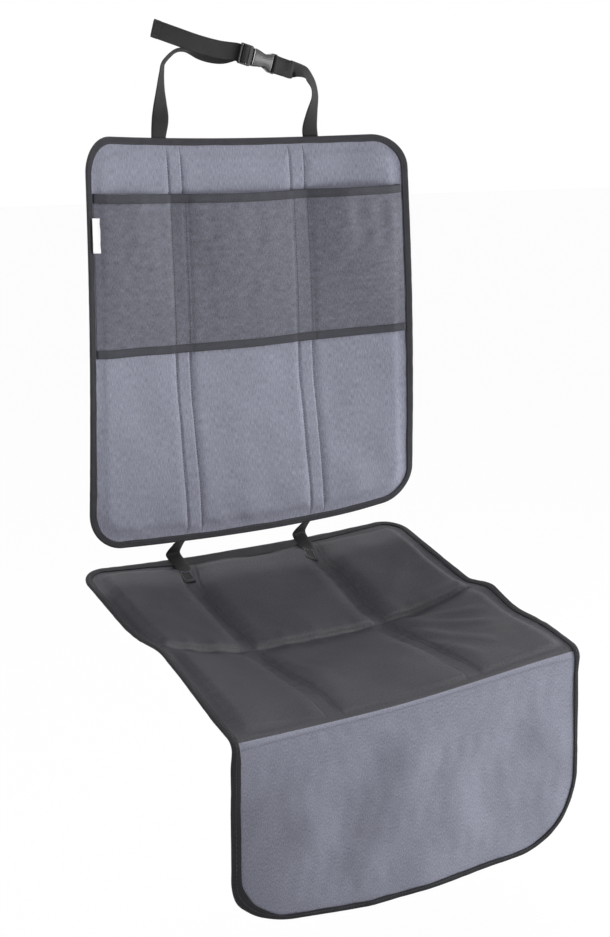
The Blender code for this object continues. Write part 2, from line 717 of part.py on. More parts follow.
def make_headrest_straps(paints):
    """The left length threads the ladder lock and ends loose; the right one is looped round the socket."""
    across_left = across_at(behind_back, LEFT_STRAP_X, BACK_HEIGHT)
    across_right = across_at(behind_back, RIGHT_STRAP_X, BACK_HEIGHT)
    up_axis = buckle_frame().to_3x3() @ Vector((0.0, 0.0, 1.0))
    top = behind_back(LEFT_STRAP_X, BACK_HEIGHT)
    depth = at_buckle(0.0, 0.0).y
    over = FRAME_THICKNESS / 2 + WEBBING_THICKNESS / 2 + GAP
    lock_in = -LADDER_BASE - SLOT / 2
    lock_out = -LADDER_BASE - SLOT - LADDER_BAR - SLOT / 2
    left = [
        (behind_back(LEFT_STRAP_X, BACK_HEIGHT - STRAP_FOOT), across_left),
        (behind_back(LEFT_STRAP_X, BACK_HEIGHT - STRAP_FOOT / 2), across_left),
        (top, across_left),
        *hung(LEFT_RISE, top.x, top.y),
        *hung(LEFT_CROSSING, 0.0, depth),
        (at_buckle(-0.034, 0.0052), (0.02, -0.12, 0.99)),
        (at_buckle(-0.024, 0.0046), up_axis),
        (at_buckle(-0.015, 0.0045), up_axis),
        (at_buckle(lock_in - 0.0026, 0.0040), up_axis),
        (at_buckle(lock_in, 0.0016), up_axis),
        (at_buckle(lock_in - 0.0002, -0.0012), up_axis),
        (at_buckle(lock_in - 0.0018, -over - 0.0003), up_axis),
        (at_buckle((lock_in + lock_out) / 2, -over - 0.0005), up_axis),
        (at_buckle(lock_out + 0.0018, -over - 0.0003), up_axis),
        (at_buckle(lock_out + 0.0002, -0.0010), up_axis),
        (at_buckle(lock_out - 0.0003, 0.0012), up_axis),
        (at_buckle(lock_out - 0.0022, over + 0.0001), up_axis),
        (at_buckle(lock_out - 0.0070, over + 0.0001), up_axis),
        *hung(LOOSE_END, 0.0, depth),
    ]
    ribbon("headrest_strap_left", left, WEBBING, 2, paints["webbing"])
    foot = behind_back(RIGHT_STRAP_X, BACK_HEIGHT)
    bar = SOCKET_LENGTH + SLOT + END_BAR / 2
    slot = SOCKET_LENGTH + SLOT / 2
    turn = FRAME_THICKNESS / 2 + WEBBING_THICKNESS / 2 + GAP
    beside = WEBBING_THICKNESS / 2 + GAP
    right = [
        (at_buckle(bar + 0.022, beside), up_axis),
        (at_buckle(bar + 0.012, beside + 0.0002), up_axis),
        (at_buckle(bar + 0.004, beside + 0.0012), up_axis),
        (at_buckle(bar, turn + 0.0002), up_axis),
        (at_buckle(slot + 0.0003, 0.0016), up_axis),
        (at_buckle(slot, 0.0), up_axis),
        (at_buckle(slot + 0.0003, -0.0016), up_axis),
        (at_buckle(bar, -turn - 0.0002), up_axis),
        (at_buckle(bar + 0.004, -beside - 0.0012), up_axis),
        (at_buckle(bar + 0.012, -beside - 0.0002), up_axis),
        (at_buckle(bar + 0.024, -beside), (0.20, -0.10, 0.97)),
        *hung(RIGHT_CROSSING, 0.0, depth),
        *hung(RIGHT_FALL, foot.x, foot.y),
        (foot, across_right),
        (behind_back(RIGHT_STRAP_X, BACK_HEIGHT - STRAP_FOOT / 2), across_right),
        (behind_back(RIGHT_STRAP_X, BACK_HEIGHT - STRAP_FOOT), across_right),
    ]
    ribbon("headrest_strap_right", right, WEBBING, 2, paints["webbing"])


def make_connectors(paints):
    """Each short strap lies in a seat channel, turns up past the rear edge and runs up behind the back."""
    strap_edge = CHANNEL_X + CONNECTOR_WIDTH / 2
    lie = max(BINDING_OUT, seat_face_high(strap_edge, CONNECTOR_ON_SEAT)) + 2 * GAP + WEBBING_THICKNESS / 2

    def on_cushion(x, along):
        return on_seat(x, along, lie)

    for side, x in (("left", -CHANNEL_X), ("right", CHANNEL_X)):
        along_seat = spaced(CONNECTOR_ON_SEAT, 0.0, 5)[:-1]
        route = [(on_cushion(x, along), across_at(on_cushion, x, along)) for along in along_seat]
        seat_end = on_cushion(x, 0.0)
        seat_across = across_at(on_cushion, x, 0.0)
        back_foot = behind_back(x, 0.0)
        foot_across = across_at(behind_back, x, 0.0)
        route += [(seat_end + Vector(step), seat_across) for step in CONNECTOR_OFF_SEAT]
        route.append(((seat_end + back_foot) / 2 + Vector(CONNECTOR_BOW), foot_across))
        route += [(back_foot + Vector(step), foot_across) for step in CONNECTOR_OFF_BACK]
        route += [(behind_back(x, up), across_at(behind_back, x, up)) for up in spaced(0.0, CONNECTOR_ON_BACK, 4)[1:]]
        ribbon(f"connector_strap_{side}", route, CONNECTOR_WIDTH, 2, paints["webbing"])


# Side-release buckle

def plate(name, outline, thickness, paint, bevel):
    """A flat outline in the buckle's X and Z, given its thickness on both sides of the middle."""
    points = [Vector((x, -thickness / 2, z)) for x, z in outline]
    points += [Vector((x, thickness / 2, z)) for x, z in outline]
    count = len(outline)
    faces = [list(range(count)), [count + i for i in reversed(range(count))]]
    faces += [[i, (i + 1) % count, (i + 1) % count + count, i + count] for i in range(count)]
    made = mesh_object(name, points, faces, paint)
    if bevel:
        rounding = made.modifiers.new("rounding", "BEVEL")
        rounding.width = bevel
        rounding.segments = 1
        rounding.limit_method = "ANGLE"
        rounding.angle_limit = math.radians(40)
    return made


def block(low, high):
    corners = [Vector((x, y, z)) for x in (low[0], high[0]) for y in (low[1], high[1]) for z in (low[2], high[2])]
    faces = [[0, 1, 3, 2], [4, 6, 7, 5], [0, 4, 5, 1], [2, 3, 7, 6], [0, 2, 6, 4], [1, 5, 7, 3]]
    made = mesh_object("cutter", corners, faces, bpy.data.materials["foam"], keep_flat=True)
    made.hide_render = True
    made.display_type = "WIRE"
    return made


def combine(target, tool, operation):
    change = target.modifiers.new(operation.lower(), "BOOLEAN")
    change.object = tool
    change.operation = operation
    change.solver = "EXACT"


def settle(target):
    """Applies a piece's modifiers, so that its cutters can go."""
    graph = bpy.context.evaluated_depsgraph_get()
    mesh = bpy.data.meshes.new_from_object(target.evaluated_get(graph))
    target.modifiers.clear()
    target.data = mesh
    mesh.shade_smooth()
    mesh.set_sharp_from_angle(angle=math.radians(35))


def mirrored_outline(upper):
    """Closes an outline that is given along its upper side, from left to right."""
    return upper + [(x, -z) for x, z in reversed(upper)]


def make_socket(paints):
    """The socket: a waisted shell, open at its mouth and at two side windows, with a slotted end."""
    frame_half = WEBBING / 2 + GAP + BUCKLE_WALL
    waist = [(0.0, SOCKET_MOUTH_HALF)]
    for step in range(1, 8):
        share = step / 8
        dip = math.sin(math.pi * min(share * SOCKET_LENGTH / (2 * SOCKET_WAIST_AT), 1.0))
        edge = SOCKET_MOUTH_HALF + (frame_half - SOCKET_MOUTH_HALF) * share
        waist.append((share * SOCKET_LENGTH, edge - (SOCKET_MOUTH_HALF - SOCKET_WAIST_HALF) * dip))
    waist.append((SOCKET_LENGTH, frame_half))
    body = plate("buckle_socket", mirrored_outline(waist), SOCKET_THICKNESS, paints["buckle"], 0.0012)
    end = SOCKET_LENGTH + SLOT + END_BAR
    overlap = SOCKET_LENGTH - 0.003
    tail = plate("cutter_tail", mirrored_outline([(overlap, frame_half - 0.0004), (end, frame_half - 0.0004)]),
                 FRAME_THICKNESS, paints["buckle"], 0.0005)
    combine(body, tail, "UNION")
    half = SOCKET_CAVITY_THICKNESS / 2
    mouth = block((-0.01, -half, -SOCKET_CAVITY_HALF),
                  (PRONG_LENGTH + 0.0015, half, SOCKET_CAVITY_HALF))
    windows = block((WINDOW_START, -half, -0.03), (WINDOW_END, half, 0.03))
    slot = block((SOCKET_LENGTH, -0.01, -WEBBING / 2 - GAP), (SOCKET_LENGTH + SLOT, 0.01, WEBBING / 2 + GAP))
    for cutter in (mouth, windows, slot):
        combine(body, cutter, "DIFFERENCE")
    settle(body)
    for tool in (tail, mouth, windows, slot):
        bpy.data.objects.remove(tool, do_unlink=True)
    body.matrix_world = buckle_frame()


def make_plug(paints):
    """The plug: a ladder lock for the adjusting end, two spring arms with barbs and a guide between them."""
    frame_half = WEBBING / 2 + GAP + BUCKLE_WALL
    base = -MOUTH_GAP
    arm_in = PRONG_HALF - PRONG_WIDTH
    upper = [
        (-LADDER_LENGTH, frame_half), (base - 0.002, frame_half), (base, frame_half - 0.002),
        (base, PRONG_HALF), (BARB_START - 0.003, PRONG_HALF - 0.0004), (BARB_START, BARB_HALF),
        (BARB_START + 0.002, BARB_HALF), (PRONG_LENGTH - 0.001, PRONG_HALF - 0.0008),
        (PRONG_LENGTH, arm_in + 0.0006), (PRONG_LENGTH - 0.001, arm_in), (base + 0.003, arm_in),
        (base + 0.001, arm_in - 0.001), (base + 0.001, GUIDE_HALF), (PRONG_LENGTH - 0.0006, GUIDE_HALF * 0.8),
    ]
    plug = plate("buckle_plug", mirrored_outline(upper), FRAME_THICKNESS, paints["buckle"], 0.0004)
    cuts = []
    for start in (-LADDER_BASE, -LADDER_BASE - SLOT - LADDER_BAR):
        cuts.append(block((start - SLOT, -0.01, -WEBBING / 2 - GAP), (start, 0.01, WEBBING / 2 + GAP)))
    for cutter in cuts:
        combine(plug, cutter, "DIFFERENCE")
    settle(plug)
    for cutter in cuts:
        bpy.data.objects.remove(cutter, do_unlink=True)
    plug.matrix_world = buckle_frame()


def main():
    clear_scene()
    paints = {
        "melange": material("melange", (0.255, 0.260, 0.330), 0.90),
        "coated": material("coated", (0.062, 0.060, 0.070), 0.62),
        "mesh": material("mesh", (0.145, 0.150, 0.190), 0.80),
        "binding": material("binding", (0.050, 0.050, 0.056), 0.75),
        "webbing": material("webbing", (0.028, 0.028, 0.030), 0.70),
        "backing": material("backing", (0.040, 0.040, 0.042), 0.85),
        "foam": material("foam", (0.75, 0.75, 0.72), 0.95),
        "buckle": material("buckle", (0.020, 0.020, 0.022), 0.32),
        "tag": material("tag", (0.82, 0.82, 0.82), 0.70),
    }
    back = back_sheet()
    make_back(back, paints)
    make_pocket(back, paints)
    make_tag(paints)
    make_seat(seat_sheet(), paints)
    make_headrest_straps(paints)
    make_connectors(paints)
    make_socket(paints)
    make_plug(paints)


main()
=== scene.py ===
"""Dressed car seat protector: cloth, foam, edge tape, mesh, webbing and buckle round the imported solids.

Every sheet is drawn flat, as it is cut, in metres: x across it and y along it. It is then lifted by its
padding, puckers and wrinkles, and bent by the same functions as the solids.
"""
import math

import bpy
import numpy as np
from mathutils import Matrix, Vector


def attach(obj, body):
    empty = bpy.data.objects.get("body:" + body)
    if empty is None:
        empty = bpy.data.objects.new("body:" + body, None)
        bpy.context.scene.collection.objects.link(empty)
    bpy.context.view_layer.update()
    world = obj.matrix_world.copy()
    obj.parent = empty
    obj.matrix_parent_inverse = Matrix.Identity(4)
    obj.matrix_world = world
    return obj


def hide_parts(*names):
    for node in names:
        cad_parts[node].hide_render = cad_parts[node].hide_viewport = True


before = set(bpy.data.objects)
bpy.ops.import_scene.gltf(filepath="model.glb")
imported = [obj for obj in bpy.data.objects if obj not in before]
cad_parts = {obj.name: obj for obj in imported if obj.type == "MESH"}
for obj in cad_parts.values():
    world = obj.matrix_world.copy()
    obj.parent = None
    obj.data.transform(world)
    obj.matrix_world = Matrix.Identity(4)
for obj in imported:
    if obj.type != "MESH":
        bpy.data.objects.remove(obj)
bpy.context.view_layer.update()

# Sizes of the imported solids
PANEL_WIDTH = 0.460
BACK_HEIGHT = 0.484
BACK_CORNER = 0.044
SEAT_LENGTH = 0.382
SEAT_REAR_CORNER = 0.034
FLAP_LENGTH = 0.209
FLAP_CORNER = 0.080
FOLD_RADIUS = 0.010
FABRIC = 0.0009
GAP = 0.0003
TAPE = 0.0009
BINDING_WIDTH = 0.0100
PAD_INSET = 0.018
PAD_EDGE = 0.0010
BACK_PAD = 0.0035
BACK_SHOULDER = 0.010
SEAT_PAD = 0.0095
SEAT_SHOULDER = 0.024
SEAT_EDGE_SHOULDER = 0.013
CHANNEL_X = 0.088
CHANNEL_WIDTH = 0.020
CREASE_AT = 0.198
FOLD_MARGIN = 0.006
FLAT_HALF = 0.045
BACK_LEAN = 0.0073
BACK_BELLY = 0.0083
BACK_WRAP_TOP = 0.0356
BACK_WRAP_FOOT = 0.009
WRAP_FADE = 0.225
BACK_TURN = 0.062
BACK_DRIFT = -0.014
TOP_DIP = 0.006
FOOT_BOW = 0.011
SEAT_SLOPE = math.radians(12.66)
SEAT_REAR_SETBACK = 0.0395
SEAT_DROP = 0.029
SEAT_SAG_REAR = 0.007
SEAT_SAG_BEHIND = 0.022
SEAT_SAG_CREASE = 0.030
SEAT_SAG_FOLD = 0.004
REAR_FALL = 0.050
SIDE_LIFT_BEHIND_CREASE = -0.003
SIDE_LIFT_CREASE = 0.0149
SIDE_LIFT_FOLD = 0.004
CREASE_REACH = 0.030
RIGHT_CORNER_RISE = 0.012
RISE_START_X = -0.05
POCKET_FOOT = 0.229
POCKET_TOP = 0.418
POCKET_SLACK = 0.012
POCKET_BAND = 0.010
TAG_FOOT = 0.351
TAG_HEIGHT = 0.040
TAG_WIDTH = 0.012
TAG_INSET = 0.006
WEBBING = 0.0215
WEBBING_THICKNESS = 0.0012
STRAP_FOOT = 0.026
LEFT_STRAP_X = -0.106
RIGHT_STRAP_X = 0.112
CONNECTOR_WIDTH = 0.0205
CONNECTOR_ON_SEAT = 0.042
CONNECTOR_ON_BACK = 0.034
BUCKLE_MOUTH = (0.0009, -0.0240, 0.0982)
BUCKLE_TILT = math.radians(15.3)

HALF_WIDTH = PANEL_WIDTH / 2
TOP_SETBACK = BACK_LEAN + BACK_WRAP_TOP
FOLD_ARC = FOLD_RADIUS * (math.pi / 2 - SEAT_SLOPE)
SEAM_AT = SEAT_LENGTH + FOLD_ARC / 2
SEAT_TOTAL = SEAT_LENGTH + FOLD_ARC + FLAP_LENGTH
CLOTH = GAP / 2 + FABRIC
BINDING_OUT = CLOTH + GAP + TAPE
POCKET_SIDE = HALF_WIDTH - BINDING_WIDTH - GAP
STITCHES_X = tuple(sign * (CHANNEL_X + side * CHANNEL_WIDTH / 2) for sign in (-1, 1) for side in (-1, 1))

# The cloth's own bends. A hump has a height, a place and a reach, and a rise has a height, a start and a run.
FOOT_CORNER_LIFT = (0.006, HALF_WIDTH, 0.07)
FOOT_CORNER_REACH = 0.06
LEFT_TIP = (0.006, 0.180, 0.030)
RIGHT_TIP = (-0.010, 0.270, 0.046)
LEFT_DRIFT = (0.0135, -CHANNEL_X, 0.11)
RIGHT_DRIFT = (0.0085, CHANNEL_X, 0.10)
DRIFT_ROUND_CREASE = 0.10
DRIFT_START = 0.06
DRIFT_END = 0.05
FLAP_CURL_START = -0.01
FLAP_CURL = 0.036
FLAP_CURL_UNDER_SEAM = 0.4
FLAP_CURL_IN = 0.58
FLAP_WAVE_STRETCH = 0.25
FLAP_WAVE_RUN = 0.35
FLAP_LEFT_LIFT = (0.006, -0.06, -0.10)
FLAP_RIGHT_LIFT = (0.004, 0.08, 0.15)
FLAP_CORNER_DROP = (0.016, 0.004 - HALF_WIDTH, 0.034)
FLAP_TIP_DROP = (0.010, -HALF_WIDTH, 0.011)
FLAP_DROP = 0.006
FLAP_DROP_FROM = (1.0, 0.35, 0.30)

# Uneven relief: its height, random seed, range of wavelengths, number of waves and spread of their headings
BACK_WAVES = ((0.0007, 7, (0.05, 0.14)), (0.00012, 9, (0.012, 0.03), 18))
BACK_FOOT_WAVES = (0.0012, 11, (0.03, 0.09), 10)
SEAT_WAVES = ((0.0013, 19, (0.06, 0.16)), (0.00015, 21, (0.016, 0.04), 18))
FLAP_HANGING_WAVES = (0.0028, 33, (0.11, 0.24), 8, 0.4)
FLAP_BROAD_WAVES = (0.0012, 31, (0.06, 0.15), 12)
FLAP_FINE_WAVES = (0.0002, 35, (0.016, 0.045), 18)
NET_WAVES = ((0.0016, 41, (0.05, 0.12)), (0.0008, 43, (0.02, 0.05)))
TAG_WAVES = (0.0003, 71, (0.02, 0.05), 8)
BAND_WAVES = (0.0004, 61, (0.03, 0.11), 10)
# The edge tapes' waves, whose seeds come with each tape
TAPE_WIDTH_WAVES = (0.0004, (0.03, 0.12), 18)
TAPE_HEIGHT_WAVES = (0.10, (0.012, 0.05), 18)

# Puckers: their height, random seed, range of wavelengths and reach from the seam
BACK_SEAM_PUCKERS = (0.00028, 3, (0.007, 0.016), 0.010)
BACK_SIDE_PUCKERS = (0.0003, 5, (0.008, 0.02), 0.010)
SEAT_SEAM_PUCKERS = (0.0004, 13, (0.012, 0.028), 0.014)
CREASE_PUCKERS = (0.0007, 15, (0.018, 0.05), 0.020)
SEAT_SIDE_PUCKERS = (0.0005, 17, (0.014, 0.04), 0.016)
FLAP_SIDE_PUCKERS = (0.0005, 37, (0.012, 0.03), 0.014)

# Relief of the back's cloth, and of the seat's cloth round its crease and seams
BACK_EDGE_RUN = 0.012
CHANNEL_SWELL = 0.0011
CHANNEL_SWELL_RUN = 0.004
BACK_SEAM_DIP = (0.0007, 0.0, 0.0012)
BACK_FOOT_HUMP = (1.0, 0.010, 0.016)
SEAT_EDGE_RUN = 0.014
PAD_FULLNESS = 0.72
PAD_OVERHANG = 0.004
CREASE_LIP = 0.006
CREASE_HALF = 0.001
CREASE_BEHIND = ((0.62, CREASE_LIP), (0.38, 0.030))
CREASE_IN_FRONT = (0.85, 0.040)
CREASE_FRONT_GAP = 0.002
CREASE_ROLL = (0.0028, 0.010, 0.014)
ROLL_ON_LEFT = 0.75
ROLL_GAIN_ON_RIGHT = (0.5, 0.0, 0.15)
FOLD_WEAR = (0.55, SEAT_LENGTH - 0.10, 0.10)
SEAT_SEAM_DIP = (0.0012, 0.0, 0.0018)
# Where the pads, their lift and the cloth's own relief end at the fold, and over what run
PADS_END = (SEAT_LENGTH - FOLD_MARGIN + 0.004, 0.010)
LIFT_END = (SEAT_LENGTH + 0.004, 0.010)
OWN_RELIEF_END = (SEAT_LENGTH + 0.002, 0.012)
SEAM_FREE_OF_CREASE = 0.012
# Folds on the seat: where each starts and ends, its width and its height
SEAT_FOLDS = (
    ((0.090, 0.202), (0.200, 0.262), 0.0085, 0.0030),
    ((0.094, 0.212), (0.190, 0.300), 0.0085, 0.0030),
    ((0.090, 0.225), (0.160, 0.345), 0.0090, 0.0026),
    ((0.084, 0.245), (0.125, 0.365), 0.0090, 0.0016),
    ((-0.085, 0.205), (-0.040, 0.310), 0.0100, 0.0012),
    ((-0.110, 0.185), (-0.200, 0.110), 0.0120, 0.0014),
    ((0.100, 0.180), (0.185, 0.095), 0.0120, 0.0014),
)
# Relief of the flap's cloth, of the net and of the tag
FLAP_EDGE_RUN = 0.016
FLAP_FROM_SEAM = (1.0, SEAM_AT + 0.002, 0.010)
FLAP_SEAM_ROLL = (0.0008, SEAM_AT + 0.004, 0.003)
SEAM_ROLL_RUN = 0.010
NET_OVER_CHANNEL = 0.0035
NET_OFF_CLOTH = 0.0009
NET_LEAST_GAP = 0.0006
TAG_LIFT = 0.0048
TAG_CURL = 0.0010


# Bending, as in the part's source, for arrays of points

def smooth(value):
    value = np.clip(value, 0.0, 1.0)
    return value * value * (3.0 - 2.0 * value)


def ease(places, at):
    """A smooth curve through (place, value) pairs."""
    made = np.full_like(at, places[0][1])
    for (start, low), (end, high) in zip(places, places[1:]):
        made = np.where(at > start, low + (high - low) * smooth((at - start) / (end - start)), made)
    return made


def bump(distance, width):
    return np.exp(-(distance / width) ** 2)


def hump(at, height, place, reach):
    return height * bump(at - place, reach)


def rise(at, height, start, run):
    return height * smooth((at - start) / run)


def fall(at, end, run):
    """From 1 to nothing at the end."""
    return smooth((end - at) / run)


def waves(x, y, height, seed, lengths, count=14, spread=math.pi):
    """Smooth uneven relief: sine waves with wavelengths in the given range and headings within the spread."""
    random = np.random.default_rng(seed)
    made = np.zeros(np.broadcast(x, y).shape)
    for _ in range(count):
        length = random.uniform(*lengths)
        turn = random.uniform(-spread, spread) / 2
        crests = (x * math.cos(turn) + y * math.sin(turn)) / length
        made = made + np.sin(math.tau * (crests + random.uniform()))
    return height * made / math.sqrt(count)


def side_share(x):
    out = np.maximum(0.0, np.abs(x) - FLAT_HALF) / (HALF_WIDTH - FLAT_HALF)
    return out * out


def on_back(x, up, out):
    """Points of the back panel: x across, up from its foot and out of its face."""
    x, up, out = np.broadcast_arrays(*(np.asarray(v, float) for v in (x, up, out)))
    share = up / BACK_HEIGHT
    wrap = BACK_WRAP_FOOT + (BACK_WRAP_TOP - BACK_WRAP_FOOT) * smooth(up / WRAP_FADE)
    y = BACK_LEAN * share - BACK_BELLY * np.sin(math.pi * np.clip(share, 0.0, 1.0))
    y = y + wrap * (1.0 - side_share(x)) + BACK_TURN * x * share
    middle = 1.0 - (x / HALF_WIDTH) ** 2
    drop = (FOOT_BOW + (TOP_DIP - FOOT_BOW) * share) * middle
    corner = hump(x, *FOOT_CORNER_LIFT) * bump(up, FOOT_CORNER_REACH)
    return np.stack([x + BACK_DRIFT * middle * share, y - out - TOP_SETBACK,
                     up - BACK_HEIGHT + TOP_DIP - drop + corner], -1)


def seat_shape(x, along):
    sag = ease(((0.0, SEAT_SAG_REAR), (REAR_FALL, SEAT_SAG_BEHIND), (CREASE_AT, SEAT_SAG_CREASE),
                (SEAT_LENGTH, SEAT_SAG_FOLD), (SEAM_AT + CREASE_REACH, 0.0)), along)
    lift = ease(((0.0, 0.0), (CREASE_AT - CREASE_REACH, SIDE_LIFT_BEHIND_CREASE),
                 (CREASE_AT + CREASE_REACH, SIDE_LIFT_CREASE), (SEAT_LENGTH, SIDE_LIFT_FOLD),
                 (SEAM_AT + CREASE_REACH, 0.0)), along)
    return side_share(x) * (sag + lift) - sag


def flap_curl(x, down):
    """How far the flap's left side bends back, more towards its hem."""
    left = np.clip((FLAP_CURL_START - x) / (HALF_WIDTH + FLAP_CURL_START), 0.0, 1.0)
    more_below = FLAP_CURL_UNDER_SEAM + (1.0 - FLAP_CURL_UNDER_SEAM) * down
    return FLAP_CURL * left ** 2 * smooth(down / 0.5) * more_below


def flap_wave(x, along):
    """How far the flap's cloth, lining and tape stand off their plane together."""
    down = np.clip((along - SEAT_LENGTH - FOLD_ARC) / FLAP_LENGTH, 0.0, 1.0)
    broad = waves(x, FLAP_WAVE_STRETCH * along, *FLAP_HANGING_WAVES) + waves(x, along, *FLAP_BROAD_WAVES)
    return smooth(down / FLAP_WAVE_RUN) * broad - flap_curl(x, down)


def channel_drift(x, along):
    """How far to the left the seat's channels are pulled."""
    round_crease = bump(along - CREASE_AT, DRIFT_ROUND_CREASE)
    drift = hump(x, *LEFT_DRIFT) + hump(x, *RIGHT_DRIFT) * round_crease
    on_panel = smooth(along / DRIFT_START) * (1.0 - smooth((along - SEAT_LENGTH) / DRIFT_END))
    return drift * (1.0 - (x / HALF_WIDTH) ** 2) * on_panel


def on_seat(x, along, out):
    """Points of the seat panel and its flap: x across, along from the rear edge and out of the face."""
    x, along, out = np.broadcast_arrays(*(np.asarray(v, float) for v in (x, along, out)))
    tipped = np.where(x < 0, hump(along, *LEFT_TIP), hump(along, *RIGHT_TIP))
    stand = out + seat_shape(x, along) + flap_wave(x, along) + (x / HALF_WIDTH) ** 2 * tipped
    arc = np.clip(along - SEAT_LENGTH, 0.0, FOLD_ARC)
    turn = SEAT_SLOPE + arc / FOLD_RADIUS
    run = np.minimum(along, SEAT_LENGTH)
    hang = np.maximum(along - SEAT_LENGTH - FOLD_ARC, 0.0)
    y = SEAT_REAR_SETBACK - run * math.cos(SEAT_SLOPE) + FOLD_RADIUS * (math.sin(SEAT_SLOPE) - np.sin(turn))
    z = -SEAT_DROP - run * math.sin(SEAT_SLOPE) - FOLD_RADIUS * (math.cos(SEAT_SLOPE) - np.cos(turn))
    y = y - stand * np.sin(turn)
    z = z + stand * np.cos(turn) - hang
    front = rise(along, 1.0, CREASE_AT, SEAT_LENGTH - CREASE_AT) * (1.0 - hang / FLAP_LENGTH)
    z = z + rise(x, RIGHT_CORNER_RISE, RISE_START_X, HALF_WIDTH - RISE_START_X) * front
    down = hang / FLAP_LENGTH
    z = z + down ** 2 * (rise(x, *FLAP_LEFT_LIFT) + rise(x, *FLAP_RIGHT_LIFT) - FLAP_DROP)
    z = z - (hump(x, *FLAP_CORNER_DROP) + hump(x, *FLAP_TIP_DROP)) * rise(down, *FLAP_DROP_FROM)
    x = x + FLAP_CURL_IN * flap_curl(x, down) - channel_drift(x, along)
    return np.stack([x, y - TOP_SETBACK, z - BACK_HEIGHT], -1)


# Flat cuts and their meshes

def spaced(start, end, size):
    return np.linspace(start, end, max(1, round((end - start) / size)) + 1)


def with_close(places, centres, reach, size):
    """Adds closely spaced places round each centre."""
    close = [np.arange(centre - reach, centre + reach + size / 2, size) for centre in centres]
    made = np.unique(np.round(np.concatenate([places] + close), 6))
    return made[np.concatenate([[True], np.diff(made) > size / 3])]


def lengths_along(points):
    """How far each point of a line lies from its start."""
    steps = np.linalg.norm(np.diff(points, axis=0), axis=1)
    return np.concatenate([[0.0], np.cumsum(steps)])


class Cut:
    """A round-cornered panel, flat: its rows, columns, outline and distance from the edge."""

    def __init__(self, length, start_corner, end_corner, spacing=0.003, close_rows=()):
        self.length = length
        self.corners = (start_corner, end_corner)
        self.spacing = spacing
        columns = spaced(-HALF_WIDTH, HALF_WIDTH, spacing)
        self.columns = with_close(columns, STITCHES_X, 0.006, 0.001)
        rows = spaced(start_corner, length - end_corner, spacing)
        self.straight = with_close(rows, close_rows, 0.009, 0.0015)

    def rows(self, inset):
        """Each row's place, half width and corner."""
        start, end = self.corners
        places = [place for place in self.straight if start + 1e-4 < place < self.length - end - 1e-4]
        for corner, base, sign in ((start, start, -1), (end, self.length - end, 1)):
            turns = np.linspace(0.0, math.pi / 2, max(4, round(corner * math.pi / 2 / self.spacing)) + 1)
            places.extend(base + sign * (corner - inset) * np.sin(turns))
        return [self.row_at(place, inset) for place in sorted(places)]

    def row_at(self, place, inset):
        start, end = self.corners
        corner = start if place < start else end if place > self.length - end else 0.0
        away = corner - min(place, self.length - place)
        drawn = math.sqrt(max((corner - inset) ** 2 - away ** 2, 0.0)) if corner else -inset
        return place, HALF_WIDTH - corner + drawn, corner

    def grid(self, inset, first=0.0, last=math.inf, limit=math.inf):
        """Flat points in rows and columns, drawn in at the corners."""
        side = min(HALF_WIDTH - inset, limit)
        columns = np.concatenate([[-side], self.columns[np.abs(self.columns) < side - 1e-4], [side]])
        rows = [row for row in self.rows(inset) if first <= row[0] <= last]
        if first > 0.0:
            rows.insert(0, self.row_at(first, inset))
        if last < math.inf:
            rows.append(self.row_at(last, inset))
        xs, ys = [], []
        for place, half, corner in rows:
            centre = HALF_WIDTH - corner
            share = (np.abs(columns) - centre) / max(HALF_WIDTH - inset - centre, 1e-9)
            drawn = np.sign(columns) * (centre + share * (half - centre))
            xs.append(np.where((np.abs(columns) > centre) & (corner > 0.0), drawn, columns))
            ys.append(np.full(len(columns), place))
        return np.array(xs), np.array(ys)

    def edge(self, x, y):
        """Distance from the outline, inside it."""
        start, end = self.corners
        corner = np.where(y < self.length / 2, start, end)
        dx = HALF_WIDTH - np.abs(x)
        dy = np.minimum(y, self.length - y)
        round_part = corner - np.hypot(np.maximum(corner - dx, 0.0), np.maximum(corner - dy, 0.0))
        return np.where((dx < corner) & (dy < corner), round_part, np.minimum(dx, dy))

    def outline(self, spacing=0.0025):
        """Points round the edge, anticlockwise from the foot's right end, with outward directions."""
        start, end = self.corners
        right = ((HALF_WIDTH - start, start, start), (HALF_WIDTH - end, self.length - end, end))
        corners = [*right, *((-x, y, radius) for x, y, radius in right[::-1])]
        parts = []
        for quarter, (x, y, radius) in enumerate(corners):
            count = max(4, round(radius * math.pi / 2 / spacing))
            for turn in math.pi / 2 * (quarter - 1 + np.arange(count) / count):
                nx, ny = math.cos(turn), math.sin(turn)
                parts.append((x + radius * nx, y + radius * ny, nx, ny))
            nx, ny = ((1, 0), (0, 1), (-1, 0), (0, -1))[quarter]
            next_x, next_y, next_radius = corners[(quarter + 1) % 4]
            a = np.array((x + radius * nx, y + radius * ny))
            b = np.array((next_x + next_radius * nx, next_y + next_radius * ny))
            count = max(1, round(math.dist(a, b) / spacing))
            parts += [(*(a + (b - a) * i / count), nx, ny) for i in range(count)]
        return np.array(parts)

    def line(self, inset=0.0):
        """The outline moved in, closed."""
        x, y, nx, ny = self.outline().T
        line = np.stack([x - inset * nx, y - inset * ny], -1)
        return np.concatenate([line, line[:1]])


def placed(name, data):
    piece = bpy.data.objects.new(name, data)
    bpy.context.scene.collection.objects.link(piece)
    return piece


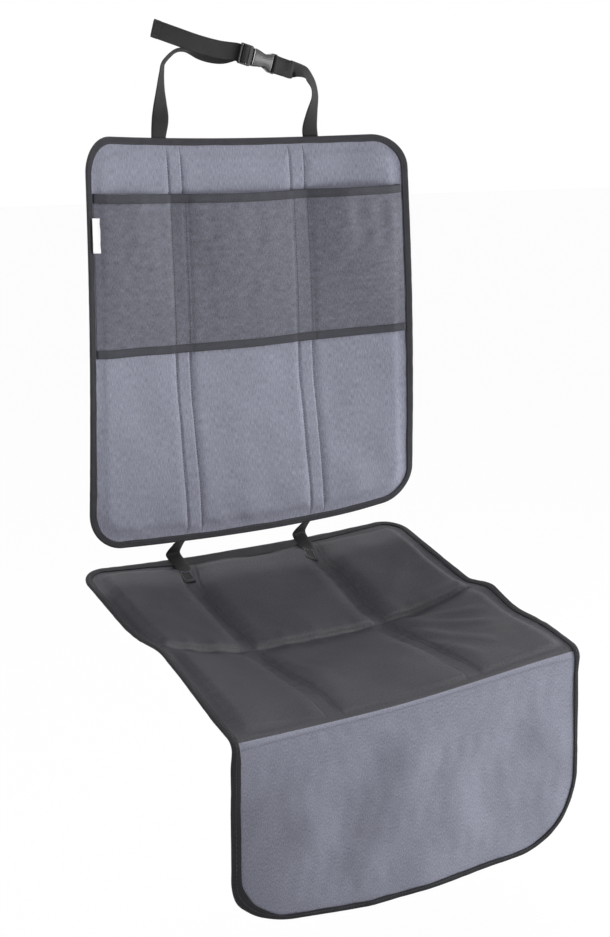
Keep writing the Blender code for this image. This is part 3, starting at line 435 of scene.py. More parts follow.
def mesh_piece(name, points, faces, paint, uv=None, smooth_faces=True):
    """A mesh piece from arrays of points and faces, with flat places in metres as its UV map."""
    mesh = bpy.data.meshes.new(name)
    mesh.from_pydata(np.asarray(points, float).tolist(), [], [list(map(int, face)) for face in faces])
    mesh.validate()
    if uv is not None:
        layer = mesh.uv_layers.new(name="cut")
        corner = np.empty(len(mesh.loops), int)
        mesh.loops.foreach_get("vertex_index", corner)
        layer.data.foreach_set("uv", np.asarray(uv, float)[corner].ravel())
    mesh.polygons.foreach_set("use_smooth", [smooth_faces] * len(mesh.polygons))
    mesh.materials.append(paint)
    return placed(name, mesh)


def grid_faces(rows, columns, flip=False, closed=False, closed_run=False):
    index = np.arange(rows * columns).reshape(rows, columns)
    if closed_run:
        index = np.concatenate([index, index[:1]], 0)
    if closed:
        index = np.concatenate([index, index[:, :1]], 1)
    quads = np.stack([index[:-1, :-1], index[:-1, 1:], index[1:, 1:], index[1:, :-1]], -1).reshape(-1, 4)
    return quads[:, ::-1] if flip else quads


def cloth_piece(name, x, y, points, paint, thickness=0.0, flip=False):
    """A sheet over rows and columns of flat places."""
    piece = mesh_piece(name, points.reshape(-1, 3), grid_faces(*x.shape, flip=flip), paint,
                       np.stack([x, y], -1).reshape(-1, 2))
    if thickness:
        shell = piece.modifiers.new("thickness", "SOLIDIFY")
        shell.thickness = thickness
        shell.offset = -1.0
    return piece


def tube_piece(name, rings, paint, closed_run=False, uv=None):
    """Rings of points (run, section, 3) joined along the run, with ends where the run is open."""
    run, section, _ = rings.shape
    faces = np.roll(grid_faces(run, section, True, True, closed_run), 1, 1).tolist()
    if not closed_run:
        faces += [range(section), range(run * section - 1, (run - 1) * section - 1, -1)]
    return mesh_piece(name, rings.reshape(-1, 3), faces, paint, uv)


# Heights of the layers

back_cut = Cut(BACK_HEIGHT, BACK_CORNER, BACK_CORNER, close_rows=(POCKET_FOOT, POCKET_TOP))
seat_cut = Cut(SEAT_TOTAL, SEAT_REAR_CORNER, FLAP_CORNER, close_rows=(CREASE_AT, SEAM_AT))


def shoulder(depth, reach):
    return np.sin(math.pi / 2 * np.clip(depth / reach, 0.0, 1.0))


def stitch_distance(x):
    return np.min(np.abs(np.asarray(x)[..., None] - np.array(STITCHES_X)), -1)


def channel_distance(x):
    return np.abs(np.abs(x) - CHANNEL_X) - CHANNEL_WIDTH / 2


def beside_tape(x):
    return HALF_WIDTH - np.abs(x) - BINDING_WIDTH


def off_tape(edge, run=PAD_INSET - BINDING_WIDTH):
    """From nothing at the tape to 1 a run further in, which is where the pads begin if none is given."""
    return smooth((edge - BINDING_WIDTH) / run)


def back_covered(edge, depth):
    return (PAD_EDGE + GAP + (BACK_PAD - PAD_EDGE) * shoulder(depth, BACK_SHOULDER)) * off_tape(edge)


def puckers(run, away, height, seed, lengths, reach):
    """Small gathers across a seam, which fade away from it."""
    return bump(away, reach) * waves(run, 0.0 * run, height, seed, lengths, 8, 0.0)


def fold(x, y, start, end, width, height, fade=0.25):
    """One soft fold along a line on a sheet: highest in the middle of its length, and gone at its ends."""
    (ax, ay), (bx, by) = start, end
    length = math.hypot(bx - ax, by - ay)
    ux, uy = (bx - ax) / length, (by - ay) / length
    along = ((x - ax) * ux + (y - ay) * uy) / length
    aside = (y - ay) * ux - (x - ax) * uy
    return height * bump(aside, width) * smooth(along / fade) * smooth((1.0 - along) / fade)


def back_relief(x, up):
    """Height of the back's face cloth."""
    edge = back_cut.edge(x, up)
    between, seam = channel_distance(x), stitch_distance(x)
    own = CHANNEL_SWELL * (between < 0) * smooth(seam / CHANNEL_SWELL_RUN) - hump(seam, *BACK_SEAM_DIP)
    own = own + puckers(up, seam, *BACK_SEAM_PUCKERS) + puckers(up, beside_tape(x), *BACK_SIDE_PUCKERS)
    own = own + hump(up, *BACK_FOOT_HUMP) * waves(x, 0.0 * x, *BACK_FOOT_WAVES)
    own = own + sum(waves(x, up, *row) for row in BACK_WAVES)
    covered = back_covered(edge, np.minimum(edge - PAD_INSET, between))
    return CLOTH + covered + off_tape(edge, BACK_EDGE_RUN) * own


def seat_relief(x, along):
    """Height of the seat's coated cloth over its six pads, down to the seam at the fold."""
    edge = seat_cut.edge(x, along)
    seam = stitch_distance(x)
    behind = CREASE_AT - along
    over_lip = behind + CREASE_HALF
    share_in_front, reach_in_front = CREASE_IN_FRONT
    roll = np.where(behind > 0, sum(share * shoulder(over_lip, reach) for share, reach in CREASE_BEHIND),
                    share_in_front * shoulder(-behind - CREASE_FRONT_GAP, reach_in_front))
    across = shoulder(np.maximum(channel_distance(x), -PAD_OVERHANG) + PAD_OVERHANG, SEAT_SHOULDER)
    rounded = across ** PAD_FULLNESS * shoulder(edge - PAD_INSET, SEAT_EDGE_SHOULDER)
    over_pad = PAD_EDGE + GAP + (SEAT_PAD - PAD_EDGE) * rounded * roll * (1.0 - rise(along, *FOLD_WEAR))
    before_fold = shoulder(PADS_END[0] - along, PADS_END[1])
    lift = over_pad * before_fold * off_tape(edge) * fall(along, *LIFT_END)
    fullness = ROLL_ON_LEFT + rise(x, *ROLL_GAIN_ON_RIGHT)
    own = fullness * hump(behind, *CREASE_ROLL) * shoulder(over_lip, CREASE_LIP)
    own = own - hump(seam, *SEAT_SEAM_DIP) * (1.0 - bump(behind, SEAM_FREE_OF_CREASE))
    own = own + puckers(along, seam, *SEAT_SEAM_PUCKERS) + puckers(x, np.abs(behind), *CREASE_PUCKERS)
    own = own + puckers(along, beside_tape(x), *SEAT_SIDE_PUCKERS)
    own = own + sum(waves(x, along, *row) for row in SEAT_WAVES)
    own = own + sum(fold(x, along, *row) for row in SEAT_FOLDS)
    inside = off_tape(edge, SEAT_EDGE_RUN) * fall(along, *OWN_RELIEF_END)
    return CLOTH + np.maximum(lift + inside * own, 0.0)


def flap_relief(x, along):
    """Height of the front flap's cloth, hung free of any pad."""
    edge = seat_cut.edge(x, along)
    inside = off_tape(edge, FLAP_EDGE_RUN) * rise(along, *FLAP_FROM_SEAM)
    own = FLAP_FINE_WAVES[0] + waves(x, along, *FLAP_FINE_WAVES)
    own = own + puckers(along, beside_tape(x), *FLAP_SIDE_PUCKERS)
    return CLOTH + inside * own + hump(along, *FLAP_SEAM_ROLL) * off_tape(edge, SEAM_ROLL_RUN)


def pocket_bulge(x, up):
    """How far each compartment of the pocket hangs open: not at its foot, and in full at its mouth."""
    outer = CHANNEL_X + CHANNEL_WIDTH / 2
    in_side = (np.abs(x) - outer) / (POCKET_SIDE - outer)
    share = np.where(np.abs(x) > outer, in_side, (x + outer) / (2 * outer))
    opening = shoulder(up - POCKET_FOOT, POCKET_TOP - POCKET_FOOT)
    return POCKET_SLACK * np.sin(math.pi * np.clip(share, 0.0, 1.0)) * opening


def mesh_relief(x, up):
    """Height of the pocket's net."""
    edge = back_cut.edge(x, up)
    bulge = pocket_bulge(x, up)
    flat = back_covered(edge, np.minimum(edge - PAD_INSET, np.maximum(channel_distance(x), NET_OVER_CHANNEL)))
    slack = bulge / POCKET_SLACK * sum(waves(x, up, *row) for row in NET_WAVES)
    net_height = CLOTH + flat + 2 * GAP + NET_OFF_CLOTH + bulge + slack
    return np.maximum(net_height, back_relief(x, up) + NET_LEAST_GAP)


# Materials

class Nodes:
    """A node tree under construction."""

    def __init__(self, tree):
        self.tree = tree

    def put(self, source, socket):
        """Links an output to an input, or sets the input's own value."""
        if isinstance(source, bpy.types.NodeSocket):
            self.tree.links.new(source, socket)
        else:
            socket.default_value = source

    def add(self, kind, *inputs, **settings):
        """A new node's outputs, from (input, source) pairs and the node's settings."""
        made = self.tree.nodes.new(kind)
        for name, value in settings.items():
            setattr(made, name, value)
        for socket, source in inputs:
            self.put(source, made.inputs[socket])
        return made.outputs

    def maths(self, operation, *values):
        return self.add("ShaderNodeMath", *enumerate(values), operation=operation)[0]

    def total(self, *parts):
        """The sum of (value, share) pairs."""
        made = 0.0
        for value, share in parts:
            made = self.maths("MULTIPLY_ADD", value, share, made)
        return made

    def sine(self, value, period):
        return self.maths("SINE", self.maths("MULTIPLY", value, math.tau / period))


class Paint(Nodes):
    """A Principled material and the nodes that vary it over the flat cut."""

    def __init__(self, name, **values):
        self.material = bpy.data.materials.new(name)
        self.material.use_nodes = True
        super().__init__(self.material.node_tree)
        self.shader = self.tree.nodes["Principled BSDF"]
        for socket, value in values.items():
            self.link(value, socket.replace("_", " "))

    def link(self, source, socket):
        self.put(source, self.shader.inputs[socket])

    def cut(self):
        """The flat place on the cut in metres, whole and as x and y."""
        place = self.add("ShaderNodeUVMap", uv_map="cut")[0]
        parts = self.add("ShaderNodeSeparateXYZ", (0, place))
        return place, parts["X"], parts["Y"]

    def noise(self, place, across, along, detail=2.0):
        """Noise with grains of the given size, from 0 to 1."""
        sizes = (1.0 / across, 1.0 / along, 1.0)
        stretched = self.add("ShaderNodeVectorMath", (0, place), (1, sizes), operation="MULTIPLY")[0]
        inputs = (("Vector", stretched), ("Scale", 1.0), ("Detail", detail))
        return self.add("ShaderNodeTexNoise", *inputs)["Fac"]

    def ramp(self, value, *stops):
        made = self.tree.nodes.new("ShaderNodeValToRGB")
        self.put(value, made.inputs["Fac"])
        band = made.color_ramp
        while len(band.elements) < len(stops):
            band.elements.new(0.5)
        for element, (place, colour) in zip(band.elements, stops):
            element.position = place
            element.color = (*colour, 1.0)
        return made.outputs["Color"]

    def relief(self, height, strength, distance):
        bumps = self.add("ShaderNodeBump", ("Strength", strength), ("Distance", distance), ("Height", height))
        self.link(bumps["Normal"], "Normal")


def scaled(colour, share):
    return tuple(channel * share for channel in colour)


def woven(name, colour, thread, contrast, streak, roughness, depth, sheen=0.0, specular=0.2, patchy=0.02):
    """Plain-woven cloth: crossed threads, heathered yarns and faint uneven dye."""
    paint = Paint(name, Roughness=roughness, Specular_IOR_Level=specular, Sheen_Weight=sheen,
                  Sheen_Roughness=0.5)
    cut, x, y = paint.cut()
    yarns = paint.noise(cut, streak[0], streak[1], 3.0)
    cross = paint.noise(cut, streak[1] * 0.5, streak[0], 2.0)
    speck = paint.noise(cut, thread * 1.3, thread * 1.3, 1.0)
    heather = paint.total((yarns, 0.55), (cross, 0.20), (speck, 0.25))
    colours = paint.ramp(heather, (0.32, scaled(colour, 1.0 - contrast)), (0.50, colour),
                         (0.68, scaled(colour, 1.0 + contrast)))
    dye = paint.ramp(paint.noise(cut, 0.06, 0.06), (0.3, (1.0 - patchy,) * 3), (0.7, (1.0 + patchy,) * 3))
    dyed = paint.add("ShaderNodeMix", (0, 1.0), (6, colours), (7, dye), data_type="RGBA",
                     blend_type="MULTIPLY")
    paint.link(dyed[2], "Base Color")
    weave = paint.maths("MULTIPLY", paint.sine(x, thread * 2), paint.sine(y, thread * 2))
    paint.relief(paint.total((weave, 1.0), (speck, 1.6)), 0.5, depth)
    return paint.material


MELANGE = (0.264, 0.270, 0.334)
melange = woven("melange", MELANGE, 0.00055, 0.40, (0.0011, 0.007), 0.85, 0.00016, sheen=0.08)
flap_melange = woven("flap_melange", MELANGE, 0.00055, 0.42, (0.0012, 0.0026), 0.85, 0.00016, sheen=0.08)
coated = woven("coated", (0.0265, 0.0248, 0.0312), 0.0009, 0.75, (0.0024, 0.0024), 0.56, 0.00035,
               specular=0.37, patchy=0.12)
backing = woven("backing", (0.064, 0.064, 0.070), 0.0012, 0.45, (0.0018, 0.0018), 0.8, 0.0004, patchy=0.06)


def ribbed(name, colour, rib, roughness, across=False, twill=0.0):
    """Narrow woven tape with ribs across it, and softly uneven edges."""
    paint = Paint(name, Roughness=roughness, Specular_IOR_Level=0.2)
    cut, x, y = paint.cut()
    run, over = (y, x) if across else (x, y)
    ribs = paint.sine(paint.total((run, 1.0), (over, twill)), rib)
    threads = paint.sine(over, rib * 0.7)
    fuzz = paint.noise(cut, 0.0012, 0.0012, 3.0)
    wear = paint.noise(cut, 0.02, 0.02)
    tone = paint.total((ribs, 0.09), (fuzz, 1.0), (wear, 0.4))
    colours = paint.ramp(tone, (0.35, scaled(colour, 0.72)), (0.70, colour), (1.0, scaled(colour, 1.4)))
    paint.link(colours, "Base Color")
    paint.relief(paint.total((ribs, 1.0), (threads, 0.4), (fuzz, 1.0)), 0.6, 0.0002)
    return paint.material


back_tape_paint = ribbed("back_tape", (0.044, 0.044, 0.050), 0.0011, 0.80)
# The seat's tape is darker than the back's tape as painted shade, to match the tape down the flap's left
# side, which lies in shade.
shade_darkened_seat_tape_paint = ribbed("seat_tape", (0.029, 0.029, 0.033), 0.0011, 0.80)
pocket_tape = ribbed("pocket_tape", (0.062, 0.063, 0.074), 0.0011, 0.80)
webbing = ribbed("webbing", (0.016, 0.016, 0.017), 0.0016, 0.62, across=True, twill=0.8)


def net(name, colour):
    """Knitted net: rows of small holes between soft threads."""
    paint = Paint(name, Roughness=0.75, Specular_IOR_Level=0.3)
    cut, x, y = paint.cut()
    pitch, slant = 0.0016, 0.58
    slanted = [paint.sine(paint.total((x, 1.0), (y, way * slant)), pitch) for way in (1, -1)]
    cells = paint.maths("ADD", *slanted)
    holes = paint.ramp(cells, (0.0, (1.0,) * 3), (0.52, (1.0,) * 3), (0.72, (0.22,) * 3))
    paint.link(holes, "Alpha")
    fuzz = paint.total((paint.noise(cut, 0.0012, 0.0045, 3.0), 1.0), (paint.noise(cut, 0.012, 0.007), 0.5))
    paint.link(paint.ramp(fuzz, (0.5, scaled(colour, 0.60)), (1.0, scaled(colour, 1.45))), "Base Color")
    paint.relief(cells, 0.5, 0.0002)
    return paint.material


mesh_paint = net("net", (0.160, 0.163, 0.198))

thread = Paint("thread", Base_Color=(0.045, 0.045, 0.052, 1.0), Roughness=0.6).material
pale_thread = Paint("pale_thread", Base_Color=(0.16, 0.16, 0.20, 1.0), Roughness=0.6).material


def moulded(name, roughness, specular):
    """Moulded acetal with a faint orange peel."""
    paint = Paint(name, Base_Color=(0.018, 0.018, 0.020, 1.0), Roughness=roughness,
                  Specular_IOR_Level=specular)
    place = paint.add("ShaderNodeTexCoord")["Object"]
    grain = paint.add("ShaderNodeTexNoise", ("Vector", place), ("Scale", 900.0))["Fac"]
    paint.relief(grain, 0.15, 0.0001)
    return paint.material


acetal = moulded("acetal", 0.27, 0.8)
plug_acetal = moulded("plug_acetal", 0.36, 0.45)


def satin(name):
    """Smooth narrow ribbon with a faint crosswise sheen."""
    paint = Paint(name, Roughness=0.45, Specular_IOR_Level=0.4)
    cut, x, _ = paint.cut()
    grain = paint.noise(cut, 0.0008, 0.003)
    paint.link(paint.ramp(grain, (0.3, (0.80, 0.79, 0.81)), (0.7, (0.88, 0.87, 0.89))), "Base Color")
    paint.relief(paint.sine(x, 0.0006), 0.3, 0.00005)
    return paint.material


tag_paint = satin("satin")


# Panels

def panel_piece(name, cut, bend, relief, paint, first=0.0, last=math.inf, flip=False, inset=0.002):
    x, y = cut.grid(inset, first, last)
    return cloth_piece(name, x, y, bend(x, y, relief(x, y)), paint, flip=flip)


def under(x, y):
    return -CLOTH + 0.0 * x


back_cloth = panel_piece("back_cloth", back_cut, on_back, back_relief, melange)
back_lining = panel_piece("back_lining_cloth", back_cut, on_back, under, backing, flip=True)
seat_cloth = panel_piece("seat_cloth", seat_cut, on_seat, seat_relief, coated, last=SEAM_AT)
flap_cloth = panel_piece("flap_cloth", seat_cut, on_seat, flap_relief, flap_melange, first=SEAM_AT)
seat_lining = panel_piece("seat_lining_cloth", seat_cut, on_seat, under, backing, flip=True)


# The tape's section, from its front lip round the edge and back: how far in, and its height as a share
TAPE_SECTION = (
    (0.0100, 1.00), (0.0098, 1.10), (0.0088, 1.14), (0.0060, 1.15), (0.0030, 1.12), (0.0012, 0.98),
    (0.0004, 0.70), (0.0, 0.30), (0.0, -0.30), (0.0004, -0.70), (0.0012, -0.98), (0.0030, -1.12),
    (0.0060, -1.15), (0.0088, -1.14), (0.0098, -1.10), (0.0100, -1.00), (0.0100, -0.55), (0.0040, -0.50),
    (0.0040, 0.50), (0.0100, 0.55),
)


TAPE_HEIGHT = 0.96 * BINDING_OUT
BACK_TAPE_SHARE = 0.86
SEAT_TAPE_SHARE = 0.80
FLAP_TAPE_GAIN = 0.20
FLAP_TAPE_LOSS = 0.38
REAR_TAPE_GAIN = 0.95


def back_tape_share(x, y):
    return BACK_TAPE_SHARE


def seat_tape_share(x, y):
    """The tape shows less at the flap's hem and right side, and in full down the flap's left side."""
    flap = smooth((y - SEAM_AT) / 0.02)
    right_or_hem = smooth((x + HALF_WIDTH - 0.01) / 0.05)
    rear = bump(y, 0.02) * bump(x + 0.01, 0.11)
    return SEAT_TAPE_SHARE + REAR_TAPE_GAIN * rear + flap * (FLAP_TAPE_GAIN - FLAP_TAPE_LOSS * right_or_hem)


def laid_out(run, over):
    """Flat places over a run and the way round a section."""
    return np.stack(np.broadcast_arrays(run[:, None], over[None, :]), -1).reshape(-1, 2)


def edge_tape(name, cut, bend, paint, seed, share):
    """Tape folded round a panel's edge, a little uneven as sewn tape is."""
    x, y, nx, ny = cut.outline().T
    *run, around = lengths_along(cut.line())
    run, radius = np.array(run), around / math.tau
    circle = (radius * np.cos(run / radius), radius * np.sin(run / radius))
    (wide, *wide_waves), (high, *high_waves) = TAPE_WIDTH_WAVES, TAPE_HEIGHT_WAVES
    width = waves(*circle, wide, seed, *wide_waves) - (1.0 - share(x, y)) * BINDING_WIDTH
    height = TAPE_HEIGHT * (1.0 + waves(*circle, high, seed + 1, *high_waves))
    rings = []
    for inset, out in TAPE_SECTION:
        inward = inset + width * (inset / BINDING_WIDTH)
        rings.append(bend(x - inward * nx, y - inward * ny, out * height))
    over = lengths_along(np.array(TAPE_SECTION) * (1.0, BINDING_OUT))
    return tube_piece(name, np.stack(rings, 1), paint, closed_run=True, uv=laid_out(run, over))


back_tape = edge_tape("back_edge_tape", back_cut, on_back, back_tape_paint, 51, back_tape_share)
seat_tape = edge_tape("seat_edge_tape", seat_cut, on_seat, shade_darkened_seat_tape_paint, 53, seat_tape_share)


# Pocket

def pocket_piece():
    x, y = back_cut.grid(0.0, POCKET_FOOT, POCKET_TOP, limit=POCKET_SIDE)
    return cloth_piece("pocket_net", x, y, on_back(x, y, mesh_relief(x, y)), mesh_paint)


def tape_over_net(name, low, high, paint, turned):
    """A flat tape on the net, or one folded over its mouth."""
    columns = with_close(spaced(-POCKET_SIDE, POCKET_SIDE, 0.003), STITCHES_X, 0.006, 0.001)
    columns = columns[np.abs(columns) <= POCKET_SIDE]
    columns[0], columns[-1] = -POCKET_SIDE, POCKET_SIDE
    section = [(low, 0.0003), (low, 0.0010), (low + 0.0008, 0.0012), ((low + high) / 2, 0.0013),
               (high - 0.0010, 0.0012), (high, 0.0008)]
    if turned:
        section += [(high + 0.0007, 0.0), (high, -0.0010), (high - 0.0010, -0.0013), (low, -0.0011),
                    (low, -0.0004), (high - 0.002, -0.0004), (high - 0.002, 0.0003)]
    else:
        section += [(high, 0.0003)]
    sway = waves(columns, 0.0 * columns, *BAND_WAVES)
    rings = [on_back(columns, up + sway, mesh_relief(columns, 0.0 * columns + min(up, POCKET_TOP)) + over)
             for up, over in section]
    uv = laid_out(columns, np.linspace(0.0, 0.022, len(section)))
    return tube_piece(name, np.stack(rings, 1), paint, uv=uv)


pocket_net = pocket_piece()
pocket_band = tape_over_net("pocket_band", POCKET_TOP - POCKET_BAND, POCKET_TOP, pocket_tape, True)
foot_tape = tape_over_net("foot_tape", POCKET_FOOT, POCKET_FOOT + POCKET_BAND, pocket_tape, False)


def tag_piece():
    left = TAG_INSET - HALF_WIDTH
    across, up = np.meshgrid(np.linspace(left, left + TAG_WIDTH, 13),
                             np.linspace(TAG_FOOT, TAG_FOOT + TAG_HEIGHT, 33))
    share = (across - left) / TAG_WIDTH
    lift = TAG_LIFT + TAG_CURL * share ** 2 + waves(across, up, *TAG_WAVES)
    return cloth_piece("bare_tag", across, up, on_back(across, up, lift), tag_paint, thickness=0.0003)


tag = tag_piece()


# Webbing

def curve_through(points, steps):
    """A smooth curve through the points, with the given number of steps from each to the next."""
    points = np.asarray(points, float)
    padded = np.concatenate([[2 * points[0] - points[1]], points, [2 * points[-1] - points[-2]]])
    t = (np.arange(steps) / steps)[:, None]
    made = []
    for a, b, c, d in zip(padded, padded[1:], padded[2:], padded[3:]):
        cubic = (3 * b - a - 3 * c + d) * t ** 3
        made.append((2 * b + (c - a) * t + (2 * a - 5 * b + 4 * c - d) * t ** 2 + cubic) / 2)
    return np.concatenate(made + [points[-1:]])


def unit(vectors):
    return vectors / np.linalg.norm(vectors, axis=-1, keepdims=True)


def ribbon(name, route, width, steps=8, thickness=WEBBING_THICKNESS):
    """Webbing along (centre, direction across) pairs, with rounded selvedges."""
    centres = curve_through([centre for centre, _ in route], steps)
    sides = curve_through([unit(np.asarray(side, float)) for _, side in route], steps)
    ahead = unit(np.gradient(centres, axis=0))
    side = unit(sides - ahead * np.sum(sides * ahead, -1, keepdims=True))
    normal = np.cross(ahead, side)
    shape = [(share, 0.5 * (1.0 - 0.75 * abs(share) ** 8)) for share in np.linspace(-1.0, 1.0, 11)]
    section = shape + [(share, -height) for share, height in reversed(shape)]
    rings = np.stack([centres + side * (share * width / 2) + normal * (height * thickness)
                      for share, height in section], 1)
    across = np.array([share * width / 2 for share, _ in section])
    return tube_piece(name, rings, webbing, uv=laid_out(lengths_along(centres), across)[:, ::-1])


def behind_back(x, up):
    return on_back(x, up, -BINDING_OUT - GAP - WEBBING_THICKNESS / 2)


def across_at(surface, x, place):
    return unit(surface(x + WEBBING / 2, place) - surface(x - WEBBING / 2, place))


buckle_place = Matrix.Translation(BUCKLE_MOUTH) @ Matrix.Rotation(BUCKLE_TILT, 4, "Y")


def at_buckle(along, back, across=0.0):
    return np.array(buckle_place @ Vector((along, back, across)))


BUCKLE_UP = np.array(buckle_place.to_3x3() @ Vector((0.0, 0.0, 1.0)))
BUCKLE_DEPTH = at_buckle(0.0, 0.0)[1]

# The straps in free air: X and Y from the strap's foot or the buckle's depth, Z, and the direction across
LEFT_RISE = ((0.0008, -0.003, 0.022, (1.0, -0.05, 0.0)), (-0.0005, -0.006, 0.040, (0.95, 0.30, 0.0)),
             (-0.0014, -0.009, 0.0568, (0.81, 0.58, 0.0)), (-0.0010, -0.012, 0.0769, (0.67, 0.74, 0.0)),
             (0.0015, -0.0135, 0.0895, (0.61, 0.79, -0.06)))
LEFT_CROSSING = ((-0.1010, 0.004, 0.1018, (0.50, 0.84, -0.16)), (-0.0826, 0.007, 0.1040, (0.30, 0.93, -0.15)),
                 (-0.0633, 0.008, 0.0995, (0.10, 0.86, -0.48)), (-0.0487, 0.008, 0.0978, (0.02, 0.70, -0.70)),
                 (-0.0340, 0.0070, 0.0995, (0.0, 0.30, -0.95)))
LOOSE_END = ((-0.0445, 0.0005, 0.1060, (0.10, 0.0, 0.99)), (-0.0735, -0.003, 0.1115, (0.14, 0.0, 0.99)),
             (-0.1023, -0.005, 0.1193, (0.20, 0.05, 0.98)), (-0.1337, -0.005, 0.1285, (0.26, 0.08, 0.97)))
RIGHT_CROSSING = ((0.0610, 0.003, 0.0850, (0.22, 0.40, 0.88)), (0.0760, 0.006, 0.0825, (0.55, 0.62, 0.56)),
                  (0.0852, 0.009, 0.0774, (0.76, 0.60, 0.25)), (0.0962, 0.014, 0.0655, (0.74, 0.64, 0.09)),
                  (0.1008, 0.018, 0.0507, (0.78, 0.57, 0.01)))
RIGHT_FALL = ((-0.0012, -0.006, 0.0318, (0.89, 0.31, -0.04)), (-0.0020, -0.002, 0.0130, (0.96, 0.0, 0.0)))
# A connector between its ends on the seat and the back: share of the way, bow and share of the rise
CONNECTOR_SPAN = ((0.10, 0.006, 0.15), (0.40, 0.010, 0.42), (0.75, 0.007, 0.80))
# Where each connector starts at the seat's rear edge, and how far it slants across
CONNECTORS = ((-0.100, 0.0115), (0.082, -0.004))
SOCKET_LENGTH = 0.0276
SLOT = 0.0032
END_BAR = 0.0025
LADDER_BASE = 0.0058
LADDER_BAR = 0.0038
FRAME_THICKNESS = 0.0036
TAIL_HEM = 0.0085
TAIL_HEM_THICKNESS = 0.0034


def hung(points, start_x, start_y):
    return [((start_x + x, start_y + y, z), across) for x, y, z, across in points]


def sewn_foot(x):
    """From the end sewn behind the back panel up to its top edge."""
    across = across_at(behind_back, x, BACK_HEIGHT)
    return [(behind_back(x, BACK_HEIGHT - below), across) for below in (STRAP_FOOT, STRAP_FOOT / 2, 0.0)]


def left_route():
    foot = sewn_foot(LEFT_STRAP_X)
    over = FRAME_THICKNESS / 2 + WEBBING_THICKNESS / 2 + GAP
    lock_in = -LADDER_BASE - SLOT / 2
    lock_out = -LADDER_BASE - SLOT - LADDER_BAR - SLOT / 2
    threaded = [(-0.022, 0.0046), (-0.015, 0.0045), (lock_in - 0.0026, 0.0040), (lock_in, 0.0016),
                (lock_in - 0.0002, -0.0012), (lock_in - 0.0018, -over - 0.0003),
                ((lock_in + lock_out) / 2, -over - 0.0005), (lock_out + 0.0018, -over - 0.0003),
                (lock_out + 0.0002, -0.0010), (lock_out - 0.0003, 0.0012), (lock_out - 0.0022, over + 0.0001),
                (lock_out - 0.0070, over + 0.0001)]
    top = foot[-1][0]
    route = foot + hung(LEFT_RISE, *top[:2]) + hung(LEFT_CROSSING, 0.0, BUCKLE_DEPTH)
    route += [(at_buckle(*place), -BUCKLE_UP) for place in threaded]
    return route + [(place, -np.array(side)) for place, side in hung(LOOSE_END, 0.0, BUCKLE_DEPTH)]


def right_route():
    foot = sewn_foot(RIGHT_STRAP_X)[::-1]
    bar = SOCKET_LENGTH + SLOT + END_BAR / 2
    slot = SOCKET_LENGTH + SLOT / 2
    turn = FRAME_THICKNESS / 2 + WEBBING_THICKNESS / 2 + GAP
    beside = WEBBING_THICKNESS / 2 + GAP
    looped = [(bar + 0.015, beside), (bar + 0.011, beside + 0.0002), (bar + 0.004, beside + 0.0012),
              (bar, turn + 0.0002), (slot + 0.0003, 0.0016), (slot, 0.0), (slot + 0.0003, -0.0016),
              (bar, -turn - 0.0002), (bar + 0.004, -beside - 0.0012), (bar + 0.012, -beside - 0.0002)]
    top = foot[0][0]
    route = [(at_buckle(*place), BUCKLE_UP) for place in looped]
    route.append((at_buckle(bar + 0.024, -beside), (0.20, -0.10, 0.97)))
    return route + hung(RIGHT_CROSSING, 0.0, BUCKLE_DEPTH) + hung(RIGHT_FALL, *top[:2]) + foot


def connector_route(x, turn):
    """From its sewn end on the seat, over the rear edge and up behind the back; turn slants it across."""
    def on_cushion(place_x, along):
        lift = seat_relief(np.float64(place_x), np.float64(along)) + WEBBING_THICKNESS
        return on_seat(place_x, along, lift)

    def lying(share):
        place = (x + turn * share, CONNECTOR_ON_SEAT * share)
        return on_cushion(*place), across_at(on_cushion, *place)

    seat_end, seat_across = lying(0.0)
    back_foot = behind_back(x, 0.0)
    route = [lying(share) for share in (1.0, 0.8, 0.6, 0.4, 0.2)]
    for ahead, bow, risen in CONNECTOR_SPAN:
        place = seat_end + (back_foot - seat_end) * (ahead, ahead, risen) + (0.0, bow, 0.0)
        route.append((place, unit(seat_across + (0.0, 0.5 * risen, 0.0))))
    route += [(behind_back(x, up), across_at(behind_back, x, up) + (0.0, 0.25 * (up < 0.01), 0.0))
              for up in np.linspace(0.003, CONNECTOR_ON_BACK, 5)]
    return route


def tail_hem_route():
    """The last stretch of the loose end, where it is turned over and sewn."""
    (before, _), (end, side) = left_route()[-2:]
    end = np.array(end)
    start = end + unit(np.array(before) - end) * TAIL_HEM
    return [(start, side), ((start + end) / 2, side), (end, side)]


left_strap = ribbon("strap_left", left_route(), WEBBING)
right_strap = ribbon("strap_right", right_route(), WEBBING)
tail_hem = ribbon("tail_hem", tail_hem_route(), WEBBING + 0.0004, thickness=TAIL_HEM_THICKNESS)
left_connector = ribbon("connector_left", connector_route(*CONNECTORS[0]), CONNECTOR_WIDTH)
right_connector = ribbon("connector_right", connector_route(*CONNECTORS[1]), CONNECTOR_WIDTH)


# Stitching

def resampled(points, pitch):
    """Places a pitch apart along a flat line, with the line's direction at each."""
    points = np.asarray(points, float)
    lengths = lengths_along(points)
    at = np.arange(pitch / 2, lengths[-1], pitch)
    made, after, before = (np.stack([np.interp(place, lengths, points[:, i]) for i in (0, 1)], -1)
                           for place in (at, at + 1e-4, at - 1e-4))
    return made, unit(after - before)


# A raised thread's rings: their place along it, girth and height, as shares of its length and radius
THREAD_RINGS = ((-0.5, 0.4, -0.9), (-0.36, 1.0, 0.0), (0.0, 1.1, 0.5), (0.36, 1.0, 0.0), (0.5, 0.4, -0.9))
THREAD_SIDES = 6


